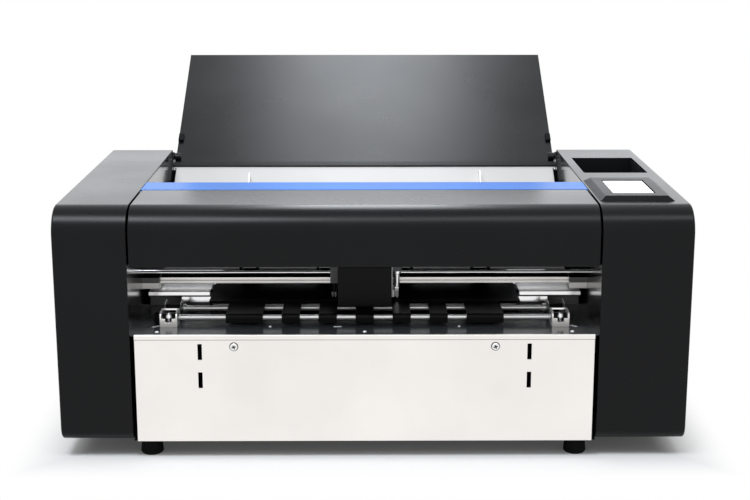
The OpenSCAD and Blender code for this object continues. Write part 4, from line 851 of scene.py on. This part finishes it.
plate_low, plate_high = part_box("front_plate")
plate_face = plate_low.y + PLATE_T
chute_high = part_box("feed_chute")[1]
strip_low, strip_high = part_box("hinge_strip")
shade_line_bm = bmesh.new()
box_along(shade_line_bm, (plate_low.x, plate_high.x), plate_face, plate_high.z - LIP_H, LIP_SHADE_LINE, SHADE_LINE_BREAK, 1)
for low, high in screw_boxes:
    if not stands_up(low, high):
        ring = Vector(((low.x + high.x) / 2, plate_face, (low.z + high.z) / 2))
        add_pin(shade_line_bm, Matrix.Translation(ring) @ FACING_FRONT, SHADE_RING_R, SHADE_RING_R, SHADE_RING_T, 32)
box_along(shade_line_bm, (strip_low.x, strip_high.x), chute_high.y, chute_high.z, CHUTE_SHADE_LINE, EDGE_BREAK, 1)
# Dark boxes and rings that stand in for shadow: painted shade.
add_piece("dark_seams", shade_line_bm, "dark_plastic", "chassis")
print("seam under the lip", LIP_H / MM, "mm down")

# %% [markdown]
# The deck's sheet is bare along its cut rear edge, which shows as one bright line behind the black.
# A second finish would need a face of its own there, so it is a thin strip laid on the edge.

# %% Bare edge of the deck
DECK_EDGE = ((-2.2, -0.2), (-0.1, 0.8))
edge_bm = bmesh.new()
box_along(edge_bm, (shelf_low.x, shelf_high.x), deck_high.y, deck_high.z, DECK_EDGE)
add_piece("deck_edge", edge_bm, "ground_steel", "chassis")
print("deck edge", round((shelf_high.x - shelf_low.x) / MM, 1), "mm long")

# %% [markdown]
# The shelves end in polished front edges, and small tabs stand below them. Upright, such a strip would
# mirror the dark inside of the machine. These lean back a little and so mirror the bright room.

# %% Polished edges and tabs
LEAN_BACK = Matrix.Rotation(math.radians(-12), 3, "X")
STRIP_PROUD, STRIP_SUNK = 0.8 * MM, 0.1 * MM
TAB_FROM, TAB_TO = 178.5 * MM, 212 * MM
TAB_BACK = 14 * MM
TAB_LOW, TAB_HIGH = 3.8 * MM, 10.2 * MM
EDGE_GAP = 0.5 * MM
EDGE_BELOW, EDGE_ABOVE = 3.4 * MM, 0.6 * MM


def leaning_strip(bm, ends, y, z_low, z_high):
    """Adds a thin strip that leans back against the upright face at y."""
    strip = bmesh.new()
    ease_box(strip, (ends[0], y - STRIP_PROUD, z_low), (ends[1], y + STRIP_SUNK, z_high))
    bmesh.ops.rotate(strip, cent=(0, y, z_high), verts=strip.verts, matrix=LEAN_BACK)
    join_bmesh(bm, strip)


platen_low, platen_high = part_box("platen")
tab_y = shelf_low.y + TAB_BACK
tab_bm = bmesh.new()
for side, near_x, far_x in ((-1, platen_low.x, shelf_low.x), (1, platen_high.x, shelf_high.x)):
    tab_ends = sorted((BAY_X + side * TAB_FROM, BAY_X + side * TAB_TO))
    leaning_strip(tab_bm, tab_ends, tab_y, deck_high.z + TAB_LOW, deck_high.z + TAB_HIGH)
    edge_ends = sorted((near_x + side * EDGE_GAP, far_x - side * EDGE_GAP))
    leaning_strip(tab_bm, edge_ends, shelf_low.y, shelf_high.z - EDGE_BELOW, shelf_high.z + EDGE_ABOVE)
add_piece("shelf_tabs", tab_bm, "bright_steel", "chassis")
print("shelf tabs", round((TAB_TO - TAB_FROM) / MM, 1), "mm wide")

# %% [markdown]
# Two bright screws hold each of the lid's brackets. Only their heads show, so plain discs are enough.

# %% Screws of the lid's brackets
LUG_T = 3.0 * MM
LUG_SCREWS = ((-16 * MM, -11 * MM), (-28 * MM, -19 * MM))
LUG_SCREW_R, LUG_SCREW_T = 2.2 * MM, 1.6 * MM
FACING_SIDE = Matrix.Rotation(math.radians(90), 4, "Y")
lug_low, lug_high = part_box("lid_brackets")
bracket_bm = bmesh.new()
for x in (lug_low.x + LUG_T, lug_high.x - LUG_T):
    for back, down in LUG_SCREWS:
        place = Matrix.Translation((x, lug_high.y + back, lug_high.z + down)) @ FACING_SIDE
        add_pin(bracket_bm, place, LUG_SCREW_R, LUG_SCREW_R, LUG_SCREW_T)
print("screws on each bracket:", len(LUG_SCREWS))

# %% [markdown]
# A black rail runs down each side of the chute and guides the sheet's edge, with a small screw at its
# top. The rails are made flat, as if the chute were level, and one matrix then lays them on its slope.

# %% Rails of the chute
CHUTE_SLOPE = math.radians(32.8)
CHUTE_T = 0.8 * MM
RAIL_W, RAIL_T = 3.8 * MM, 1.5 * MM
RAIL_FROM, RAIL_TO = 4 * MM, 75 * MM
RAIL_SUNK, RAIL_BREAK = 0.1 * MM, 0.3 * MM
RAIL_SCREW_DOWN = 2.5 * MM
RAIL_SCREW_R, RAIL_SCREW_END_R, RAIL_SCREW_T = 1.4 * MM, 1.0 * MM, 1.2 * MM
on_chute = Matrix.Translation((0, chute_high.y - CHUTE_T, chute_high.z))
on_chute @= Matrix.Rotation(CHUTE_SLOPE, 4, "X")
rail_bm = bmesh.new()
for x in (strip_low.x, strip_high.x - RAIL_W):
    ease_box(rail_bm, (x, -RAIL_TO, -RAIL_SUNK), (x + RAIL_W, -RAIL_FROM, RAIL_T), RAIL_BREAK)
    place = on_chute @ Matrix.Translation((x + RAIL_W / 2, -RAIL_FROM - RAIL_SCREW_DOWN, RAIL_T))
    add_pin(bracket_bm, place, RAIL_SCREW_R, RAIL_SCREW_END_R, RAIL_SCREW_T)
bmesh.ops.transform(rail_bm, matrix=on_chute, verts=rail_bm.verts)
add_piece("chute_rails", rail_bm, "matt_black_and_painted_shade", "chassis")
add_piece("bracket_screws", bracket_bm, "zinc_steel", "chassis")
print("chute rails", round((RAIL_TO - RAIL_FROM) / MM), "mm long")

# %% [markdown]
# A rubber seal closes the gap under the lid, where light would otherwise shine through from behind. It
# is a thin blade that stands behind the hinge strip and clears the lid as it turns.

# %% Hinge seal
SEAL_BACK, SEAL_T = 4.8 * MM, 0.6 * MM
SEAL_SHORT = 2 * MM
SEAL_BELOW, SEAL_UNDER_TOP = 0.2 * MM, 2.2 * MM
seal_y = strip_high.y + SEAL_BACK
seal_bm = bmesh.new()
ease_box(seal_bm, (strip_low.x + SEAL_SHORT, seal_y, strip_low.z - SEAL_BELOW),
         (strip_high.x - SEAL_SHORT, seal_y + SEAL_T, strip_high.z - SEAL_UNDER_TOP))
add_piece("hinge_seal", seal_bm, "rubber", "chassis")
print("hinge seal", round(SEAL_T / MM, 1), "mm thick")

# %% [markdown]
# A dome-headed screw stands behind the notch of each front bracket and holds it to the deck. It is a
# turned form again. Above it, the bracket's bent-over top catches the light in a bright bar, which is
# one more leaning strip.

# %% Dome screws and bracket bars
DOME_BACK, DOME_LIFT = 5.2 * MM, 1.4 * MM
DOME_R, DOME_UNDER, DOME_TOP = 3.4 * MM, 8.6 * MM, 14 * MM
DOME_SHANK_R, DOME_RIM = 1.3 * MM, 1.4 * MM
BAR_BACK = 0.3 * MM
BAR_LOW, BAR_HIGH = 3.4 * MM, 1.4 * MM
dome_half = [(0, 0), (DOME_SHANK_R, 0), (DOME_SHANK_R, DOME_UNDER), (DOME_R, DOME_UNDER),
             (DOME_R, DOME_UNDER + DOME_RIM), (0.82 * DOME_R, DOME_TOP - 1.5 * MM),
             (0.45 * DOME_R, DOME_TOP - 0.4 * MM), (0, DOME_TOP)]
dome_bm = bmesh.new()
for low, high in island_boxes("exit_brackets"):
    if low.y < bracket_low.y + MM:
        part = turned(dome_half)
        bmesh.ops.recalc_face_normals(part, faces=part.faces)
        seat = ((low.x + high.x) / 2, low.y + DOME_BACK, low.z + DOME_LIFT)
        bmesh.ops.translate(part, verts=part.verts, vec=seat)
        join_bmesh(dome_bm, part)
        leaning_strip(dome_bm, (low.x, high.x), high.y - BAR_BACK, high.z - BAR_LOW, high.z - BAR_HIGH)
add_piece("dome_screws", dome_bm, "bright_steel", "chassis")
print("dome screws", round(2 * DOME_R / MM, 1), "mm across")

# %% [markdown]
# ## Trim of the carriage
# Beside its black cover the carriage shows a bright side plate over a white block, and two white tips
# on the other side. They ride on the carriage's own body, so they travel with it. Boxes and tapered
# pins are enough.

# %% Trim of the carriage
SIDE_GAP, SIDE_T = 0.1 * MM, 1.0 * MM
SIDE_FROM, SIDE_TO = 1.5 * MM, 26 * MM
SIDE_LOW, SIDE_UNDER_TOP = 19.7 * MM, 1.5 * MM
BLOCK_T, BLOCK_LOW, BLOCK_HIGH = 3.2 * MM, 11 * MM, 19.5 * MM
BLOCK_BREAK = 0.4 * MM
TIPS_OUT = (3.0 * MM, 6.4 * MM)
TIP_BACK, TIP_UP = 24 * MM, 8 * MM
TIP_R, TIP_END_R, TIP_L = 0.6 * MM, 1.4 * MM, 6 * MM
carriage = node_body["carriage_cover"]
cover_low, cover_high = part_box("carriage_cover")
side_x = cover_high.x + SIDE_GAP
side_from, side_to = cover_low.y + SIDE_FROM, cover_low.y + SIDE_TO
side_bm = bmesh.new()
ease_box(side_bm, (side_x, side_from, cover_low.z + SIDE_LOW),
         (cover_high.x + SIDE_T, side_to, cover_high.z - SIDE_UNDER_TOP))
add_piece("carriage_side_plate", side_bm, "zinc_steel", carriage)
block_bm = bmesh.new()
ease_box(block_bm, (side_x, side_from, cover_low.z + BLOCK_LOW),
         (cover_high.x + BLOCK_T, side_to, cover_low.z + BLOCK_HIGH), BLOCK_BREAK)
for out in TIPS_OUT:
    place = Matrix.Translation((cover_low.x - out, cover_low.y + TIP_BACK, cover_low.z + TIP_UP))
    add_pin(block_bm, place, TIP_R, TIP_END_R, TIP_L)
add_piece("carriage_white_trim", block_bm, "white_plastic", carriage)
print("trim of the carriage rides on", carriage)

# %% [markdown]
# ## Back of the machine
# The rear sheet has two fields of louvres for the motors' warm air, and screws round its edge. Slots
# cut through the sheet would show the inside. Each louvre is a low box instead, whose outer edges are
# rounded as a press would leave them.

# %% Louvres and rear screws
LOUVRE_W, LOUVRE_H, LOUVRE_STEP = 62 * MM, 3.4 * MM, 8 * MM
LOUVRE_SUNK, LOUVRE_PROUD, LOUVRE_R = 0.4 * MM, 1.6 * MM, 1.1 * MM
LOUVRE_FIELDS = (-150 * MM, 60 * MM)
LOUVRE_ROWS, LOUVRE_LOW = 8, 150 * MM
REAR_SCREW_SIDE, REAR_SCREW_EDGE = 14 * MM, 12 * MM
REAR_SHANK = 0.5 * MM
FACING_BACK = Matrix.Rotation(math.radians(-90), 4, "X") @ Matrix.Rotation(math.radians(35), 4, "Z")
rear_low, rear_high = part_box("rear_panel")
louvre_bm = bmesh.new()
for x in LOUVRE_FIELDS:
    for row in range(LOUVRE_ROWS):
        z = LOUVRE_LOW + row * LOUVRE_STEP
        ease_box(louvre_bm, (x, rear_high.y - LOUVRE_SUNK, z),
                 (x + LOUVRE_W, rear_high.y + LOUVRE_PROUD, z + LOUVRE_H), LOUVRE_R, 3)
add_piece("rear_louvres", louvre_bm, "black_coat", "chassis")
rear_bm = bmesh.new()
for x in (rear_low.x + REAR_SCREW_SIDE, BAY_X, rear_high.x - REAR_SCREW_SIDE):
    for z in (rear_low.z + REAR_SCREW_EDGE, rear_high.z - REAR_SCREW_EDGE):
        pan_screw(rear_bm, Vector((x, rear_high.y, z)), FACING_BACK, REAR_SHANK)
add_piece("rear_screws", rear_bm, "dark_zinc_and_painted_shade", "chassis")
print("louvres:", len(LOUVRE_FIELDS) * LOUVRE_ROWS)

# %% [markdown]
# ## Studio
# The machine stands on a pale floor in an even white room. A curved backdrop would work, but its bend
# shows in reflections. Here a flat floor is white paint close to the machine, where it takes the
# shadow. A hand's breadth away it has faded into an even white that camera and reflections see, so
# the picture has no horizon.

# %% Floor
FLOOR_HALF = 20.0
floor_bm = bmesh.new()
bmesh.ops.create_grid(floor_bm, x_segments=1, y_segments=1, size=FLOOR_HALF)
floor_mesh = bpy.data.meshes.new("studio_floor")
floor_bm.to_mesh(floor_mesh)
floor_bm.free()
floor = bpy.data.objects.new("studio_floor", floor_mesh)
scene.collection.objects.link(floor)
print("floor", 2 * FLOOR_HALF, "m across")

# %% [markdown]
# The room's white has to be seen without lighting the machine from all sides. The Light Path node
# tells the rays of the camera and of mirrors from those that only light, and a mix of two shaders
# shows the white to the first kind.


# %% White that is only seen
def combine(tree, operation, one, other):
    """One value worked out from two."""
    node = tree.nodes.new("ShaderNodeMath")
    node.operation = operation
    tree.links.new(one, node.inputs[0])
    tree.links.new(other, node.inputs[1])
    return node.outputs[0]


def seen_directly(tree):
    """1 for rays from the camera, and for reflected and refracted rays."""
    rays = tree.nodes.new("ShaderNodeLightPath").outputs
    mirrored = combine(tree, "MAXIMUM", rays["Is Glossy Ray"], rays["Is Transmission Ray"])
    return combine(tree, "MAXIMUM", rays["Is Camera Ray"], mirrored)


def show_white(tree, share, lit, white, output):
    """Shows the even white instead of what is lit, as far as the share says."""
    blend = tree.nodes.new("ShaderNodeMixShader")
    for socket, source in zip(blend.inputs, (share, lit, white)):
        tree.links.new(source, socket)
    tree.links.new(blend.outputs["Shader"], tree.nodes[output].inputs["Surface"])


print("white helpers ready")

# %% [markdown]
# The fade needs the distance from the machine's footprint, a rectangle. Absolute coordinates fold the
# floor onto one quarter, the footprint's half size is taken off, and the larger of the two rests is
# the distance.

# %% Floor paint
FADE_FROM, FADE_TO = -0.03, 0.06
SHADOW_KEEP = 0.05
FLOOR_WHITE, FLOOR_ROUGH, FLOOR_SPECULAR = (0.90, 0.90, 0.90), 0.85, 0.1


def floor_paint():
    """White paint that fades into an even white away from the machine's footprint."""
    paint, tree, shader = start_finish("floor_paint", FLOOR_WHITE, FLOOR_ROUGH, specular=FLOOR_SPECULAR)
    coords = tree.nodes.new("ShaderNodeTexCoord")
    folded = tree.nodes.new("ShaderNodeVectorMath")
    folded.operation = "ABSOLUTE"
    outside = tree.nodes.new("ShaderNodeVectorMath")
    outside.operation = "SUBTRACT"
    outside.inputs[1].default_value = (cad_high.x, -cad_low.y, 0)
    parts = tree.nodes.new("ShaderNodeSeparateXYZ")
    tree.links.new(coords.outputs["Object"], folded.inputs[0])
    tree.links.new(folded.outputs["Vector"], outside.inputs[0])
    tree.links.new(outside.outputs["Vector"], parts.inputs["Vector"])
    distance = combine(tree, "MAXIMUM", parts.outputs["X"], parts.outputs["Y"])
    fade = spread(tree, distance, SHADOW_KEEP, 1, FADE_FROM, FADE_TO)
    fade.node.interpolation_type = "SMOOTHSTEP"
    share = combine(tree, "MULTIPLY", fade, seen_directly(tree))
    white = tree.nodes.new("ShaderNodeEmission")
    show_white(tree, share, shader.outputs["BSDF"], white.outputs["Emission"], "Material Output")
    return paint


floor_mesh.materials.append(floor_paint())
print("floor fades over", round((FADE_TO - FADE_FROM) / MM), "mm")

# %% [markdown]
# The sky behind the floor is the same white where it is seen, and a weak even fill where it only
# lights. A picture of a room could light the machine too, but a plain fill keeps its colours true.

# %% Sky
SKY_FILL = 0.24
world = bpy.data.worlds.new("studio_sky")
scene.world = world
world.use_nodes = True
sky_tree = world.node_tree
fill = sky_tree.nodes["Background"]
shown = sky_tree.nodes.new("ShaderNodeBackground")
for background, strength in ((fill, SKY_FILL), (shown, 1.0)):
    set_inputs(background, {"Color": (1, 1, 1, 1), "Strength": strength})
show_white(sky_tree, seen_directly(sky_tree), fill.outputs["Background"], shown.outputs["Background"],
           "World Output")
print("sky fill", SKY_FILL)

# %% [markdown]
# Black coats show little of their own colour. Their shape is drawn by what they mirror, so the lamps
# are large rectangles: a wall of light behind for the tops, a strip above for the lid, and two in
# front for the rounded edge of hood and covers, the left one stronger.

# %% Lamps
# Each lamp: place, width, depth, power
LAMPS = {
    "back_wall": ((0, 2.6, 0.95), 4.2, 1.3, 16.5),
    "back_overhead": ((0, 1.0, 1.62), 0.43, 1.1, 17.5),
    "front_left": ((-0.62, -1.08, 1.95), 0.95, 0.5, 24),
    "front_right": ((0.42, -1.08, 1.95), 1.1, 0.5, 9),
}
LAMP_AIM = Vector((0, -0.05, 0.16))
LAMP_COLOR = (0.90, 0.945, 1.0)
for name, (place, across, deep, power) in LAMPS.items():
    lamp_data = bpy.data.lights.new(name, "AREA")
    lamp_data.shape = "RECTANGLE"
    lamp_data.size = across
    lamp_data.size_y = deep
    lamp_data.energy = power
    lamp_data.color = LAMP_COLOR
    lamp = bpy.data.objects.new(name, lamp_data)
    lamp.location = place
    lamp.rotation_euler = (LAMP_AIM - Vector(place)).to_track_quat("-Z", "Y").to_euler()
    scene.collection.objects.link(lamp)
scene.view_settings.view_transform = "Standard"
print("lamps:", ", ".join(LAMPS))
